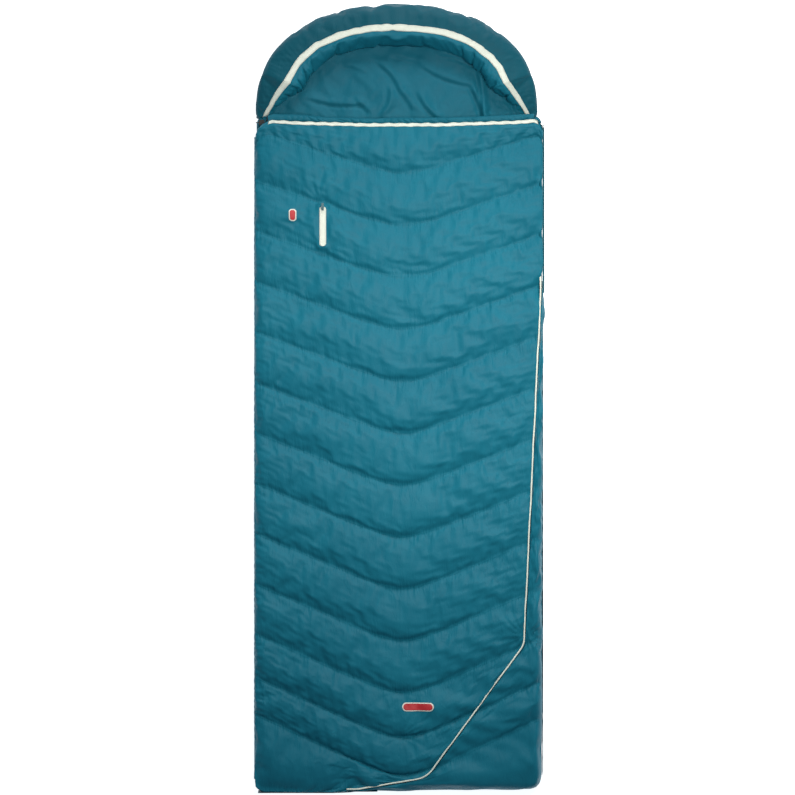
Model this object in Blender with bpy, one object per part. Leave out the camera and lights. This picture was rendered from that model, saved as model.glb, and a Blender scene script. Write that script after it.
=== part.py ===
"""Hooded rectangular sleeping bag that opens out flat into a camp quilt.

Metres, +Z up. The bag lies on its back with the hood towards +Y. The origin is at the
middle of its underside. The cover is hinged on the left side seam, and the zip runs down
the right side and round the foot.
"""

import math

import bmesh
import bpy
from mathutils import Vector

# Whole bag
LENGTH = 2.250
WIDTH = 0.829
FOOT_RADIUS = 0.040

# Layers of fabric and filling
SHEET = 0.0012
FILL = 0.028
GAP = 0.0003
SLEEPING_GAP = 0.020
POCKET_LAYER = 0.0020

# Chevron quilting: seams point at the foot, and the last two stand closer together
SEAM_COUNT = 13
FIRST_SEAM_Y = 0.640
SEAM_PITCH = 0.1475
FOOT_PITCHES = (0.128, 0.108)
SEAM_CENTRE_X = 0.012
SEAM_SLOPE = 0.33
SEAM_SLOPE_STEP = 0.0125
SEAM_NOSE = 0.062
SEAM_GAP = 0.003

# Neck of the cover
NECK_Y = 0.781
NECK_RISE = 0.012
NECK_CORNER = 0.050
NECK_TAPE_WIDTH = 0.011
FACING_RADIUS = 0.0075

# Hood
HOOD_HINGE_Y = 0.8155
HOOD_BASE_Y = 0.789
HOOD_WIDTH = 0.804
HOOD_ROUNDNESS = 2.3
HOOD_TILT_DEG = 35
RIM_HALF_WIDTH = 0.053
RIM_HALF_HEIGHT = 0.047
RIM_TAPE_WIDTH = 0.018
RIM_TAPE_LIFT = 0.0056
RIM_STEPS = 27
CORD_RADIUS = 0.0015

# Zip: its path runs from the neck down the right side and across to the foot edge
SLOT = 0.009
WALL = 0.002
COIL_RADIUS = 0.0008
COIL_SPACING = 0.0015
TAPE_THICKNESS = 0.0008
PIPING_RADIUS = 0.0023
DRAUGHT_RADIUS = 0.007
SLIDER_LENGTH = 0.014
SLIDER_WIDTH = 0.008
PLATE = 0.0012
PULL_LENGTH = 0.026
PULL_WIDTH = 0.004

# Chest pocket
POCKET_X = -0.215
POCKET_Y = 0.486
POCKET_ZIP_LENGTH = 0.112
POCKET_ZIP_WIDTH = 0.020

# Levels, counted up from the ground
BACK_FILL_Z = SHEET + GAP
BACK_LINER_Z = BACK_FILL_Z + FILL + GAP
BACK_TOP_Z = BACK_LINER_Z + SHEET
COVER_LINER_Z = BACK_TOP_Z + SLEEPING_GAP
COVER_FILL_Z = COVER_LINER_Z + SHEET + GAP
COVER_FILL_TOP_Z = COVER_FILL_Z + FILL
COVER_SHELL_Z = COVER_FILL_TOP_Z + GAP + POCKET_LAYER
COVER_TOP_Z = COVER_SHELL_Z + SHEET
ZIP_Z = 0.066

# Edges
HALF_WIDTH = WIDTH / 2
HALF_LENGTH = LENGTH / 2
PAD_LEFT_X = -HALF_WIDTH + 0.005
HINGE_X = -HALF_WIDTH + 0.002
HINGE_Z = 0.046
ZIP_X = HALF_WIDTH - WALL - SLOT
ZIP_FOOT_Y = -HALF_LENGTH + WALL + SLOT
ZIP_CENTRE = SLOT / 2

# Linear colours
TEAL = (0.018, 0.165, 0.230)
LINER_TEAL = (0.010, 0.120, 0.180)
WHITE = (0.75, 0.78, 0.74)
WADDING = (0.80, 0.80, 0.78)
BLACK = (0.010, 0.010, 0.011)
STEEL = (0.55, 0.56, 0.57)

PARTS = bpy.data.collections.new("camp_quilt")
CUTTERS = bpy.data.collections.new("cutters")


# ---------------------------------------------------------------- helpers


def clear_scene():
    """Remove the start-up objects and link the two collections."""
    for obj in list(bpy.data.objects):
        bpy.data.objects.remove(obj, do_unlink=True)
    for collection in (PARTS, CUTTERS):
        bpy.context.scene.collection.children.link(collection)


def material(name, colour, roughness, metallic=0.0):
    """A plain Principled material for one sub-part."""
    made = bpy.data.materials.new(name)
    made.use_nodes = True
    shader = made.node_tree.nodes["Principled BSDF"]
    shader.inputs["Base Color"].default_value = (*colour, 1)
    shader.inputs["Roughness"].default_value = roughness
    shader.inputs["Metallic"].default_value = metallic
    return made


def add(name, data, look):
    """Put a mesh or curve into the parts collection with a material of its own."""
    obj = bpy.data.objects.new(name, data)
    PARTS.objects.link(obj)
    colour, roughness, metallic = look
    data.materials.append(material(name, colour, roughness, metallic))
    return obj


def poly_curve(name, points, dimensions, cyclic):
    """A curve made of straight runs between the points."""
    curve = bpy.data.curves.new(name, "CURVE")
    curve.dimensions = dimensions
    spline = curve.splines.new("POLY")
    spline.points.add(len(points) - 1)
    for point, place in zip(spline.points, points):
        point.co = (*place, 0, 1)[:4] if len(place) == 2 else (*place, 1)
    spline.use_cyclic_u = cyclic
    return curve


def flat(name, outline, bottom, thickness, look):
    """A flat outline with a thickness, lying at the given level."""
    curve = poly_curve(name, outline, "2D", True)
    curve.fill_mode = "BOTH"
    curve.extrude = thickness / 2
    obj = add(name, curve, look)
    obj.location.z = bottom + thickness / 2
    return obj


def tube(name, points, radius, look, resolution=2):
    """A round tube with closed ends along 3-D points."""
    curve = poly_curve(name, points, "3D", False)
    curve.bevel_depth = radius
    curve.bevel_resolution = resolution
    curve.use_fill_caps = True
    return add(name, curve, look)


def loft(name, rings, look):
    """A closed solid through rings of points, for sections that change on the way."""
    mesh = bpy.data.meshes.new(name)
    work = bmesh.new()
    rows = [[work.verts.new(point) for point in ring] for ring in rings]
    size = len(rows[0])
    for near, far in zip(rows, rows[1:]):
        for i in range(size):
            j = (i + 1) % size
            work.faces.new((near[i], near[j], far[j], far[i]))
    work.faces.new(rows[0])
    work.faces.new(reversed(rows[-1]))
    bmesh.ops.recalc_face_normals(work, faces=work.faces)
    work.to_mesh(mesh)
    work.free()
    return add(name, mesh, look)


def box(name, low, high, look):
    """A box between two corners, given in its own frame."""
    size = Vector(high) - Vector(low)
    bpy.ops.mesh.primitive_cube_add(size=1, location=(Vector(low) + Vector(high)) / 2)
    obj = bpy.context.object
    obj.scale = size
    bpy.ops.object.transform_apply(location=True, rotation=False, scale=True)
    return adopt(name, obj, look)


def cylinder(name, start, end, radius, look, sides=16):
    """A cylinder between two points."""
    along = Vector(end) - Vector(start)
    middle = (Vector(start) + Vector(end)) / 2
    turn = along.to_track_quat("Z", "Y").to_euler()
    bpy.ops.mesh.primitive_cylinder_add(
        vertices=sides, radius=radius, depth=along.length, location=middle, rotation=turn
    )
    bpy.ops.object.transform_apply(location=True, rotation=True, scale=False)
    return adopt(name, bpy.context.object, look)


def adopt(name, obj, look):
    """Move an object made by an operator into the parts, or the cutters if it has no look."""
    for owner in list(obj.users_collection):
        owner.objects.unlink(obj)
    obj.name = name
    obj.data.name = name
    if look is None:
        CUTTERS.objects.link(obj)
        obj.hide_render = True
        obj.display_type = "WIRE"
        return obj
    PARTS.objects.link(obj)
    colour, roughness, metallic = look
    obj.data.materials.append(material(name, colour, roughness, metallic))
    return obj


def combine(target, tool, operation):
    """Join a helper solid to an object, or cut it away, at once."""
    boolean = target.modifiers.new(operation.lower(), "BOOLEAN")
    boolean.operation = operation
    boolean.object = tool
    boolean.solver = "EXACT"
    depsgraph = bpy.context.evaluated_depsgraph_get()
    depsgraph.update()
    mesh = bpy.data.meshes.new_from_object(target.evaluated_get(depsgraph))
    target.modifiers.clear()
    old = target.data
    target.data = mesh
    mesh.name = target.name
    bpy.data.meshes.remove(old)
    bpy.data.objects.remove(tool, do_unlink=True)


def place(obj, location, turn_z=0.0):
    """Stand an object made around its own origin at its place."""
    obj.location = location
    obj.rotation_euler.z = turn_z
    return obj


# ---------------------------------------------------------------- outlines


def span(start, end, count):
    """Evenly spaced numbers from start to end."""
    return [start + (end - start) * i / (count - 1) for i in range(count)]


def rounded(corners):
    """Points through corners (x, y, radius), each corner turned into an arc."""
    points = []
    last = len(corners) - 1
    for i, (x, y, radius) in enumerate(corners):
        corner = Vector((x, y))
        if i in (0, last) or radius == 0:
            points.append(corner)
            continue
        before = (Vector(corners[i - 1][:2]) - corner).normalized()
        after = (Vector(corners[i + 1][:2]) - corner).normalized()
        half = before.angle(after) / 2
        reach = radius / math.tan(half)
        turn = math.pi - 2 * half
        steps = max(2, round(turn / math.radians(18)))
        middle = corner + (before + after).normalized() * radius / math.sin(half)
        start = corner + before * reach - middle
        way = 1 if start.x * (corner + after * reach - middle).y - start.y * (
            corner + after * reach - middle
        ).x > 0 else -1
        for step in range(steps + 1):
            angle = way * turn * step / steps
            cosine = math.cos(angle)
            sine = math.sin(angle)
            points.append(
                middle
                + Vector((start.x * cosine - start.y * sine, start.x * sine + start.y * cosine))
            )
    return points


def offset(path, distance):
    """The path moved sideways, to its left as it is followed."""
    moved = []
    for i, point in enumerate(path):
        into = (point - path[i - 1]).normalized() if i else None
        out = (path[i + 1] - point).normalized() if i + 1 < len(path) else None
        along = (into or out) + (out or into)
        along.normalize()
        normal = Vector((-along.y, along.x))
        stretch = 1.0
        if into and out:
            stretch = 1 / max(0.5, along.dot(out))
        moved.append(point + normal * distance * stretch)
    return moved


def seam_y(number, x):
    """Height of a chevron seam at x. Seam 1 is nearest the hood."""
    full = min(number - 1, SEAM_COUNT - 1 - len(FOOT_PITCHES))
    low = FIRST_SEAM_Y - SEAM_PITCH * full - sum(FOOT_PITCHES[: number - 1 - full])
    slope = SEAM_SLOPE + SEAM_SLOPE_STEP * (number - 1)
    return low + slope * (math.hypot(x - SEAM_CENTRE_X, SEAM_NOSE) - SEAM_NOSE)


def neck_y(x):
    """Height of the cover's top edge at x, lowest in the middle."""
    return NECK_Y + NECK_RISE * (x / HALF_WIDTH) ** 2


def clip(outline, keep):
    """The part of an outline where keep(point) is positive."""
    kept = []
    for i, here in enumerate(outline):
        before = outline[i - 1]
        now = keep(here)
        then = keep(before)
        if (now >= 0) != (then >= 0):
            kept.append(before.lerp(here, then / (then - now)))
        if now >= 0:
            kept.append(here)
    return kept


def band(outline, upper, lower, steps=10):
    """The part of an outline between two curves y(x), following both curves."""
    cut = clip(outline, lambda p: upper(p.x) - p.y)
    cut = clip(cut, lambda p: p.y - lower(p.x))
    points = []
    for i, here in enumerate(cut):
        before = cut[i - 1]
        for curve in (upper, lower):
            on_curve = abs(before.y - curve(before.x)) < 2e-4 and abs(here.y - curve(here.x)) < 2e-4
            if on_curve and abs(here.x - before.x) > 0.08:
                for x in span(before.x, here.x, steps + 2)[1:-1]:
                    points.append(Vector((x, curve(x))))
        points.append(here)
    return points


def zip_path():
    """The edge of the cover along the zip, from the neck to the left foot corner."""
    return rounded(
        [
            (ZIP_X, neck_y(ZIP_X) - 0.010, 0),
            (ZIP_X, 0.300, 1.0),
            (0.3555, -0.700, 0.060),
            (0.080, -1.076, 0.080),
            (-0.140, ZIP_FOOT_Y, 0.50),
            (PAD_LEFT_X + 0.010, ZIP_FOOT_Y, 0),
        ]
    )


def cover_outline():
    """The cover, anticlockwise from the neck's right corner."""
    left = PAD_LEFT_X
    neck = [Vector((x, neck_y(x))) for x in span(left + NECK_CORNER, ZIP_X - 0.025, 9)]
    foot_corner = [Vector((left, ZIP_FOOT_Y + 0.010))]
    left_corner = [
        Vector((left, neck_y(left) - NECK_CORNER)),
        Vector((left + NECK_CORNER * 0.25, neck_y(left) - NECK_CORNER * 0.28)),
    ]
    return list(reversed(neck)) + list(reversed(left_corner)) + foot_corner + list(
        reversed(zip_path())
    )


def wrap_outline():
    """The strip of underlay that wraps up beside and below the zip."""
    inner = offset(zip_path(), SLOT)
    outer = rounded(
        [
            (HALF_WIDTH, inner[0].y, 0),
            (HALF_WIDTH, -HALF_LENGTH, FOOT_RADIUS),
            (inner[-1].x, -HALF_LENGTH, 0),
        ]
    )
    return outer + list(reversed(inner))


def back_outline():
    """The underlay, from the foot to the hood's hinge."""
    left = PAD_LEFT_X
    top = HOOD_HINGE_Y - 0.001
    return rounded(
        [
            (0, top, 0),
            (left, top, 0),
            (left, -HALF_LENGTH, FOOT_RADIUS),
            (HALF_WIDTH, -HALF_LENGTH, FOOT_RADIUS),
            (HALF_WIDTH, top, 0),
            (0.01, top, 0),
        ]
    )


# ---------------------------------------------------------------- underlay


FABRIC = (TEAL, 0.55, 0.0)
LINING = (LINER_TEAL, 0.6, 0.0)
PADDING = (WADDING, 0.9, 0.0)
BINDING = (WHITE, 0.6, 0.0)


def fill_chambers(prefix, outline, numbers, bottom):
    """One block of filling for each chamber between the seams."""
    edges = [None] + list(numbers) + [None]
    for count, (above, below) in enumerate(zip(edges, edges[1:]), 1):
        def upper(x, number=above):
            return seam_y(number, x) - SEAM_GAP / 2 if number else HALF_LENGTH

        def lower(x, number=below):
            return seam_y(number, x) + SEAM_GAP / 2 if number else -HALF_LENGTH - 1

        shape = band(outline, upper, lower)
        flat(f"{prefix}_{count:02d}", shape, bottom, FILL, PADDING)


def underlay():
    """The back of the bag: shell, chambers and liner."""
    outline = back_outline()
    flat("back_shell", outline, 0, SHEET, FABRIC)
    fill_chambers("back_fill", outline, range(2, SEAM_COUNT, 2), BACK_FILL_Z)
    flat("back_liner", outline, BACK_LINER_Z, SHEET, LINING)


def side_wrap():
    """The underlay's wrap beside the zip, and its zip half."""
    outline = wrap_outline()
    wrap_bottom = BACK_TOP_Z + GAP
    flat("wrap_fill", outline, wrap_bottom, COVER_FILL_TOP_Z - wrap_bottom, PADDING)
    flat("wrap_shell", outline, COVER_FILL_TOP_Z + GAP, COVER_TOP_Z - COVER_FILL_TOP_Z - GAP, FABRIC)


def left_seam():
    """The seam tape that joins the cover to the underlay along the left side."""
    top = neck_y(PAD_LEFT_X) - NECK_CORNER
    low = (-HALF_WIDTH, -HALF_LENGTH + FOOT_RADIUS, BACK_FILL_Z)
    high = (-HALF_WIDTH + 0.0015, top, HINGE_Z - 0.0005)
    box("left_seam_tape", low, high, FABRIC)


# ---------------------------------------------------------------- cover


def cover():
    """The top of the bag: shell, chambers, liner and the trims on its edges."""
    outline = cover_outline()
    flat("cover_liner", outline, COVER_LINER_Z, SHEET, LINING)
    fill_chambers("cover_fill", outline, range(1, SEAM_COUNT + 1), COVER_FILL_Z)
    flat("cover_shell", outline, COVER_SHELL_Z, SHEET, FABRIC)


def neck_trims():
    """White tape on the neck edge, and the soft facing roll behind it."""
    run = span(PAD_LEFT_X + NECK_CORNER + 0.004, ZIP_X - 0.027, 11)
    half = NECK_TAPE_WIDTH / 2
    upper = [Vector((x, neck_y(x) + half)) for x in run]
    lower = [Vector((x, neck_y(x) - half)) for x in run]
    flat("neck_tape", lower + list(reversed(upper)), COVER_TOP_Z + GAP, SHEET, BINDING)
    level = COVER_LINER_Z + FACING_RADIUS + 0.004
    away = FACING_RADIUS + 0.001
    facing = [(x, neck_y(x) + away, level) for x in run]
    tube("neck_facing", facing, FACING_RADIUS, LINING)


def piping_and_draught_tube():
    """The pale piping on the cover's zip edge, and the draught tube behind the zip."""
    path = zip_path()
    level = COVER_TOP_Z + GAP + PIPING_RADIUS
    points = [(p.x, p.y, level) for p in offset(path, -0.0008)]
    tube("zip_piping", points, PIPING_RADIUS, BINDING)
    level = COVER_LINER_Z - GAP - DRAUGHT_RADIUS
    points = [(p.x, p.y, level) for p in offset(path, -0.012)[1:-1]]
    tube("draught_tube", points, DRAUGHT_RADIUS, LINING)


# ---------------------------------------------------------------- main zip


def strip(name, path, near, far, bottom, thickness, look):
    """A flat strip between two offsets of the zip path."""
    outline = offset(path, near) + list(reversed(offset(path, far)))
    return flat(name, outline, bottom, thickness, look)


def zip_halves():
    """Tape and coil on each side of the zip. The cover's half stops short of the parked sliders."""
    path = zip_path()
    park = SLIDER_LENGTH + 0.004
    top = path[0] + Vector((0, -park))
    end = path[-1] + Vector((park, 0))
    cover_half = [top] + path[1:-1] + [end]
    level = ZIP_Z - TAPE_THICKNESS / 2
    coil_edge = COIL_SPACING + COIL_RADIUS + 0.0002
    for side, half, way in (("cover", cover_half, -1), ("wrap", path, 1)):
        near = ZIP_CENTRE + way * coil_edge
        far = ZIP_CENTRE + way * (ZIP_CENTRE - GAP)
        strip(f"zip_tape_{side}", half, near, far, level, TAPE_THICKNESS, FABRIC)
        coil = offset(half, ZIP_CENTRE + way * COIL_SPACING)
        points = [(p.x, p.y, ZIP_Z) for p in coil]
        tube(f"zip_coil_{side}", points, COIL_RADIUS, (BLACK, 0.4, 0.0), 1)


def slider(name, location, turn):
    """A zip slider around its own origin: two plates, a bridge, and an ear for the pull."""
    look = (STEEL, 0.35, 1.0)
    half_length = SLIDER_LENGTH / 2
    half_width = SLIDER_WIDTH / 2
    gap = COIL_RADIUS + GAP
    body = box(name, (-half_length, -half_width, -gap - PLATE), (half_length, half_width, -gap), look)
    top = box("top", (-half_length, -half_width, gap), (half_length, half_width, gap + PLATE), None)
    combine(body, top, "UNION")
    reach = gap + PLATE / 2
    bridge = box("bridge", (-half_length + 0.001, -0.0004, -reach), (half_length - 0.002, 0.0004, reach), None)
    combine(body, bridge, "UNION")
    ear = box("ear", (-0.0022, -0.0005, reach), (0.0022, 0.0005, EAR_TOP), None)
    combine(body, ear, "UNION")
    hole = cylinder("hole", (0, -0.002, PULL_Z), (0, 0.002, PULL_Z), PIN_RADIUS + GAP, None, 12)
    combine(body, hole, "DIFFERENCE")
    return place(body, location, turn)


PIN_RADIUS = 0.0007
PULL_Z = COIL_RADIUS + GAP + PLATE + 0.0022
EAR_TOP = PULL_Z + 0.0020


def pull(name, location, turn, width=PULL_WIDTH, length=PULL_LENGTH):
    """A pull tab around its pin, lying back along the zip."""
    look = (BLACK, 0.5, 0.0)
    half = width / 2
    cheek = 0.0008
    back = -0.0030
    tab = box(name, (-length, -half, -0.0006), (back, half, 0.0006), look)
    for side in (-1, 1):
        inner = side * cheek
        outer = side * half
        low = (back - 0.001, min(inner, outer), -0.0006)
        high = (0.0013, max(inner, outer), 0.0006)
        arm = box("arm", low, high, None)
        combine(tab, arm, "UNION")
    pin = cylinder("pin", (0, -half + 0.0003, 0), (0, half - 0.0003, 0), PIN_RADIUS - 0.0002, None, 8)
    combine(tab, pin, "UNION")
    return place(tab, location, turn)


def zip_sliders():
    """Two sliders: one parked at the neck, one parked at the left foot corner."""
    path = zip_path()
    top = offset(path, ZIP_CENTRE)[0] + Vector((0, -SLIDER_LENGTH / 2 - 0.001))
    end = offset(path, ZIP_CENTRE)[-1] + Vector((SLIDER_LENGTH / 2 + 0.001, 0))
    for name, point, turn in (("top", top, math.pi / 2), ("foot", end, math.pi)):
        slider(f"{name}_slider", (point.x, point.y, ZIP_Z), turn)
        pull(f"{name}_pull", (point.x, point.y, ZIP_Z + PULL_Z), turn)


# ---------------------------------------------------------------- chest pocket


def chest_pocket():
    """A flat pocket behind the shell, its white zip, its slider and its pull."""
    half = POCKET_ZIP_LENGTH / 2
    radius = POCKET_ZIP_WIDTH / 2
    bag_low = (POCKET_X - 0.075, POCKET_Y - 0.080, COVER_FILL_TOP_Z + GAP)
    bag_high = (POCKET_X + 0.012, POCKET_Y + 0.060, COVER_SHELL_Z - GAP)
    box("pocket_bag", bag_low, bag_high, LINING)
    ends = []
    for sign in (1, -1):
        for angle in span(0, 180, 9):
            turn = math.radians(angle + (0 if sign > 0 else 180))
            ends.append(
                Vector((POCKET_X + radius * math.cos(turn), POCKET_Y + sign * (half - radius)))
                + Vector((0, radius * math.sin(turn)))
            )
    flat("pocket_zip_tape", ends, COVER_TOP_Z + GAP, SHEET, BINDING)
    top = COVER_TOP_Z + GAP + SHEET + GAP
    start = (-0.005, -0.0035, 0)
    body = box("pocket_slider", start, (0.005, 0.0035, 0.0014), (TEAL, 0.5, 0.0))
    ear = box("ear", (-0.0022, -0.0005, 0.0010), (0.0022, 0.0005, 0.0014 + 0.0042), None)
    combine(body, ear, "UNION")
    pin_z = 0.0014 + 0.0022
    hole = cylinder("hole", (0, -0.002, pin_z), (0, 0.002, pin_z), PIN_RADIUS + GAP, None, 12)
    combine(body, hole, "DIFFERENCE")
    spot = (POCKET_X, POCKET_Y + half - 0.006, top)
    place(body, spot, math.pi / 2)
    pull("pocket_pull", (spot[0], spot[1], top + pin_z), -math.pi / 2, 0.007, 0.016)


def badges():
    """Two plain embroidered patches, one on the chest and one near the foot."""
    for name, x, y, half_x, half_y in (
        ("chest_badge", -0.300, 0.518, 0.011, 0.017),
        ("foot_badge", 0.055, -0.875, 0.045, 0.012),
    ):
        low = (x - half_x, y - half_y, COVER_TOP_Z + GAP)
        high = (x + half_x, y + half_y, COVER_TOP_Z + GAP + 0.0008)
        box(name, low, high, (WADDING, 0.7, 0.0))


# ---------------------------------------------------------------- hood


def hood_point(angle, inward):
    """A point inside the hood's outline, and the outward direction there."""
    power = 2 / HOOD_ROUNDNESS
    cosine = math.cos(angle)
    sine = math.sin(angle)
    half_width = HOOD_WIDTH / 2
    height = HALF_LENGTH - HOOD_BASE_Y
    x = half_width * math.copysign(abs(cosine) ** power, cosine)
    y = height * abs(sine) ** power
    slope = Vector((
        math.copysign(abs(x / half_width) ** (HOOD_ROUNDNESS - 1), x) / half_width,
        (y / height) ** (HOOD_ROUNDNESS - 1) / height,
    ))
    out = slope.normalized()
    return Vector((x, HOOD_BASE_Y + y)) - out * inward, out


def rim_stations():
    """Centre, outward direction and scale of the rim, from the right corner to the left."""
    stations = []
    for angle in span(math.radians(7.5), math.radians(172.5), RIM_STEPS):
        scale = 1.0
        for _ in range(3):
            centre, out = hood_point(angle, RIM_HALF_WIDTH * scale + GAP + SHEET)
            away = centre.y - HOOD_HINGE_Y
            scale = min(1.0, 0.36 + 13.0 * max(away - 0.004, 0))
        centre.y = max(centre.y, HOOD_HINGE_Y + 0.003)
        stations.append((centre, out, scale))
    return stations


def rim_piece(name, section, look):
    """A piece that follows the rim, with the section given for each scale."""
    rings = []
    for centre, out, scale in rim_stations():
        level = 0.0025 + RIM_HALF_HEIGHT * scale
        ring = []
        for u, v in section(scale):
            spot = centre + out * u
            ring.append((spot.x, spot.y, level + v))
        rings.append(ring)
    return loft(name, rings, look)


def arc(scale, start, end, lift, count):
    """Points on the rim's oval, lifted off it, between two angles in degrees."""
    points = []
    for angle in span(math.radians(start), math.radians(end), count):
        u = (RIM_HALF_WIDTH * scale + lift) * math.cos(angle)
        v = (RIM_HALF_HEIGHT * scale + lift) * math.sin(angle)
        points.append((u, v))
    return points


def layer(scale, start, end, lift, count):
    """A thin layer over the rim's oval."""
    inner = arc(scale, start, end, lift, count)
    outer = arc(scale, start, end, lift + SHEET, count)
    return outer + list(reversed(inner))


def tape_angle(scale):
    """Half the angle that the rim tape covers, in degrees."""
    return math.degrees(RIM_TAPE_WIDTH / 2 / (RIM_HALF_WIDTH * scale))


def hood_rim():
    """The padded rim: filling, outer shell, inner lining, white tape tunnel and drawcord."""
    rim_piece("hood_rim_fill", lambda s: arc(s, 0, 345, -0.0022, 12), PADDING)
    rim_piece("hood_rim_shell", lambda s: layer(s, -82, 88 - tape_angle(s), GAP, 7), FABRIC)
    rim_piece("hood_rim_lining", lambda s: layer(s, 92 + tape_angle(s), 205, GAP, 6), LINING)
    rim_piece(
        "hood_rim_tape",
        lambda s: layer(s, 90 - tape_angle(s), 90 + tape_angle(s), RIM_TAPE_LIFT, 4),
        BINDING,
    )
    cord = []
    for centre, _, scale in rim_stations():
        level = 0.0025 + 2 * RIM_HALF_HEIGHT * scale + CORD_RADIUS + 2 * GAP
        cord.append((centre.x, centre.y, level))
    tube("hood_drawcord", cord, CORD_RADIUS, (BLACK, 0.6, 0.0), 1)


def hood_back():
    """The hood's flat back inside the rim: shell, filling and liner."""
    inward = 2 * RIM_HALF_WIDTH + 0.006
    outline = []
    for angle in span(math.radians(8), math.radians(172), 21):
        point, _ = hood_point(angle, inward)
        outline.append(Vector((point.x, max(point.y, HOOD_HINGE_Y))))
    flat("hood_shell", outline, 0, SHEET, FABRIC)
    flat("hood_fill", outline, BACK_FILL_Z, FILL, PADDING)
    flat("hood_liner", outline, BACK_LINER_Z, SHEET, LINING)


# ---------------------------------------------------------------- cord lock


LOCK_X = -0.391
LOCK_Y = 0.787
LOCK_Z = BACK_TOP_Z + GAP + 0.0050
LOCK_HALF = 0.0075
BUTTON_RADIUS = 0.0030
BUTTON_TRAVEL = 0.0030


def cord_lock():
    """The cord lock at the hood's left corner: body, button and spring."""
    look = (BLACK, 0.45, 0.0)
    centre = Vector((LOCK_X, LOCK_Y, LOCK_Z))
    half = Vector((LOCK_HALF, LOCK_HALF, 0.0048))
    body = box("cord_lock_body", centre - half, centre + half, look)
    open_end = centre + Vector((0, -LOCK_HALF - 0.001, 0))
    closed_end = centre + Vector((0, LOCK_HALF - 0.0020, 0))
    combine(body, cylinder("bore", open_end, closed_end, BUTTON_RADIUS + GAP, None, 16), "DIFFERENCE")
    cross = Vector((LOCK_HALF + 0.001, 0, 0))
    combine(body, cylinder("way", centre - cross, centre + cross, CORD_RADIUS + GAP, None, 12), "DIFFERENCE")
    start = centre + Vector((0, -LOCK_HALF - 0.0050, 0))
    end = centre + Vector((0, 0.0022, 0))
    button = cylinder("cord_lock_button", start, end, BUTTON_RADIUS, look, 16)
    low = centre + Vector((-0.008, -CORD_RADIUS - GAP - BUTTON_TRAVEL, -CORD_RADIUS - GAP))
    high = centre + Vector((0.008, CORD_RADIUS + GAP, CORD_RADIUS + GAP))
    combine(button, box("slot", low, high, None), "DIFFERENCE")
    turns = []
    steps = 24
    for i in range(steps + 1):
        angle = 2 * math.pi * 3 * i / steps
        y = centre.y + 0.0022 + 0.0006 + 0.0020 * i / steps
        turns.append((centre.x + 0.0020 * math.cos(angle), y, centre.z + 0.0020 * math.sin(angle)))
    tube("cord_lock_spring", turns, 0.0003, (STEEL, 0.3, 1.0), 1)
    tail = [
        (-0.3775, 0.8165, 0.0385),
        (-0.3755, 0.8100, 0.0378),
        (-0.3745, 0.8020, 0.0370),
        (-0.3755, 0.7945, 0.0366),
        (-0.3790, 0.7890, LOCK_Z),
        (-0.3830, 0.7870, LOCK_Z),
        (-0.3990, 0.7870, LOCK_Z),
        (-0.4080, 0.7868, LOCK_Z),
    ]
    tube("drawcord_tail", tail, CORD_RADIUS, look, 1)


# ---------------------------------------------------------------- assembly


def main():
    clear_scene()
    underlay()
    side_wrap()
    left_seam()
    cover()
    neck_trims()
    piping_and_draught_tube()
    zip_halves()
    zip_sliders()
    chest_pocket()
    badges()
    hood_rim()
    hood_back()
    cord_lock()


main()
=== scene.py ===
# %% [markdown]
# # A quilted sleeping bag that opens out into a camp quilt
# This lesson finishes the looks of a bag whose frame, joints and hardware are already modelled.
# The frame is loaded first. Everything else is placed from its boxes, so nothing needs fitting.

# %% Load the frame
import math

import bmesh
import bpy
import numpy as np
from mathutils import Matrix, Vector
from mathutils.bvhtree import BVHTree


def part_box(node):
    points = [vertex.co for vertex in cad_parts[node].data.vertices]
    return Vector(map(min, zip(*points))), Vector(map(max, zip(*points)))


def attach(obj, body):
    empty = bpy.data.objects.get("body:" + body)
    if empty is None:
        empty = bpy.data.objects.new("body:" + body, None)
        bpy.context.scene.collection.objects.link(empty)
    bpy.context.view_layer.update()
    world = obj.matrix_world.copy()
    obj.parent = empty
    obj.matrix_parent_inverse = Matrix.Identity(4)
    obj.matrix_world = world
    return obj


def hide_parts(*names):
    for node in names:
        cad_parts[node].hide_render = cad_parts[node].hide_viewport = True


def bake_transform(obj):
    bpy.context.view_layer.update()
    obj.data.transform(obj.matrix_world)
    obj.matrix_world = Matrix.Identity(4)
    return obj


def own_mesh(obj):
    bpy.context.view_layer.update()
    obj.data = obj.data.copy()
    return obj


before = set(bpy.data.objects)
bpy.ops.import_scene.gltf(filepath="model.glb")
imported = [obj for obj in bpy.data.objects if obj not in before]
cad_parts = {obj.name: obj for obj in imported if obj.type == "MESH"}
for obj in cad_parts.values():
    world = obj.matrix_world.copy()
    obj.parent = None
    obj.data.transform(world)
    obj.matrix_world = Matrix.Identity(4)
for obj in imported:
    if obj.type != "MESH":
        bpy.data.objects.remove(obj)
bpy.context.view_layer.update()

print("frame with", len(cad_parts), "nodes")

# %% [markdown]
# ## Camera
# The bag lies flat and is looked at from straight above. A long lens far away keeps its
# sides parallel, and the top of the picture is the hood's end.

# %% Camera straight above
LENS_MM = 85.0
SENSOR_MM = 36.0
VIEW_WIDTH = 2.266
LOOK_LEVEL = 0.05


def add_camera():
    """A long-lens camera above the middle of the bag, with +Y up in the picture."""
    data = bpy.data.cameras.new("camera")
    data.lens = LENS_MM
    data.sensor_width = SENSOR_MM
    camera = bpy.data.objects.new("camera", data)
    camera.location = (-0.003, 0.0014, LOOK_LEVEL + VIEW_WIDTH * LENS_MM / SENSOR_MM)
    bpy.context.scene.collection.objects.link(camera)
    bpy.context.scene.camera = camera
    return camera


print("camera at", round(add_camera().location.z, 3), "m")

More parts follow.
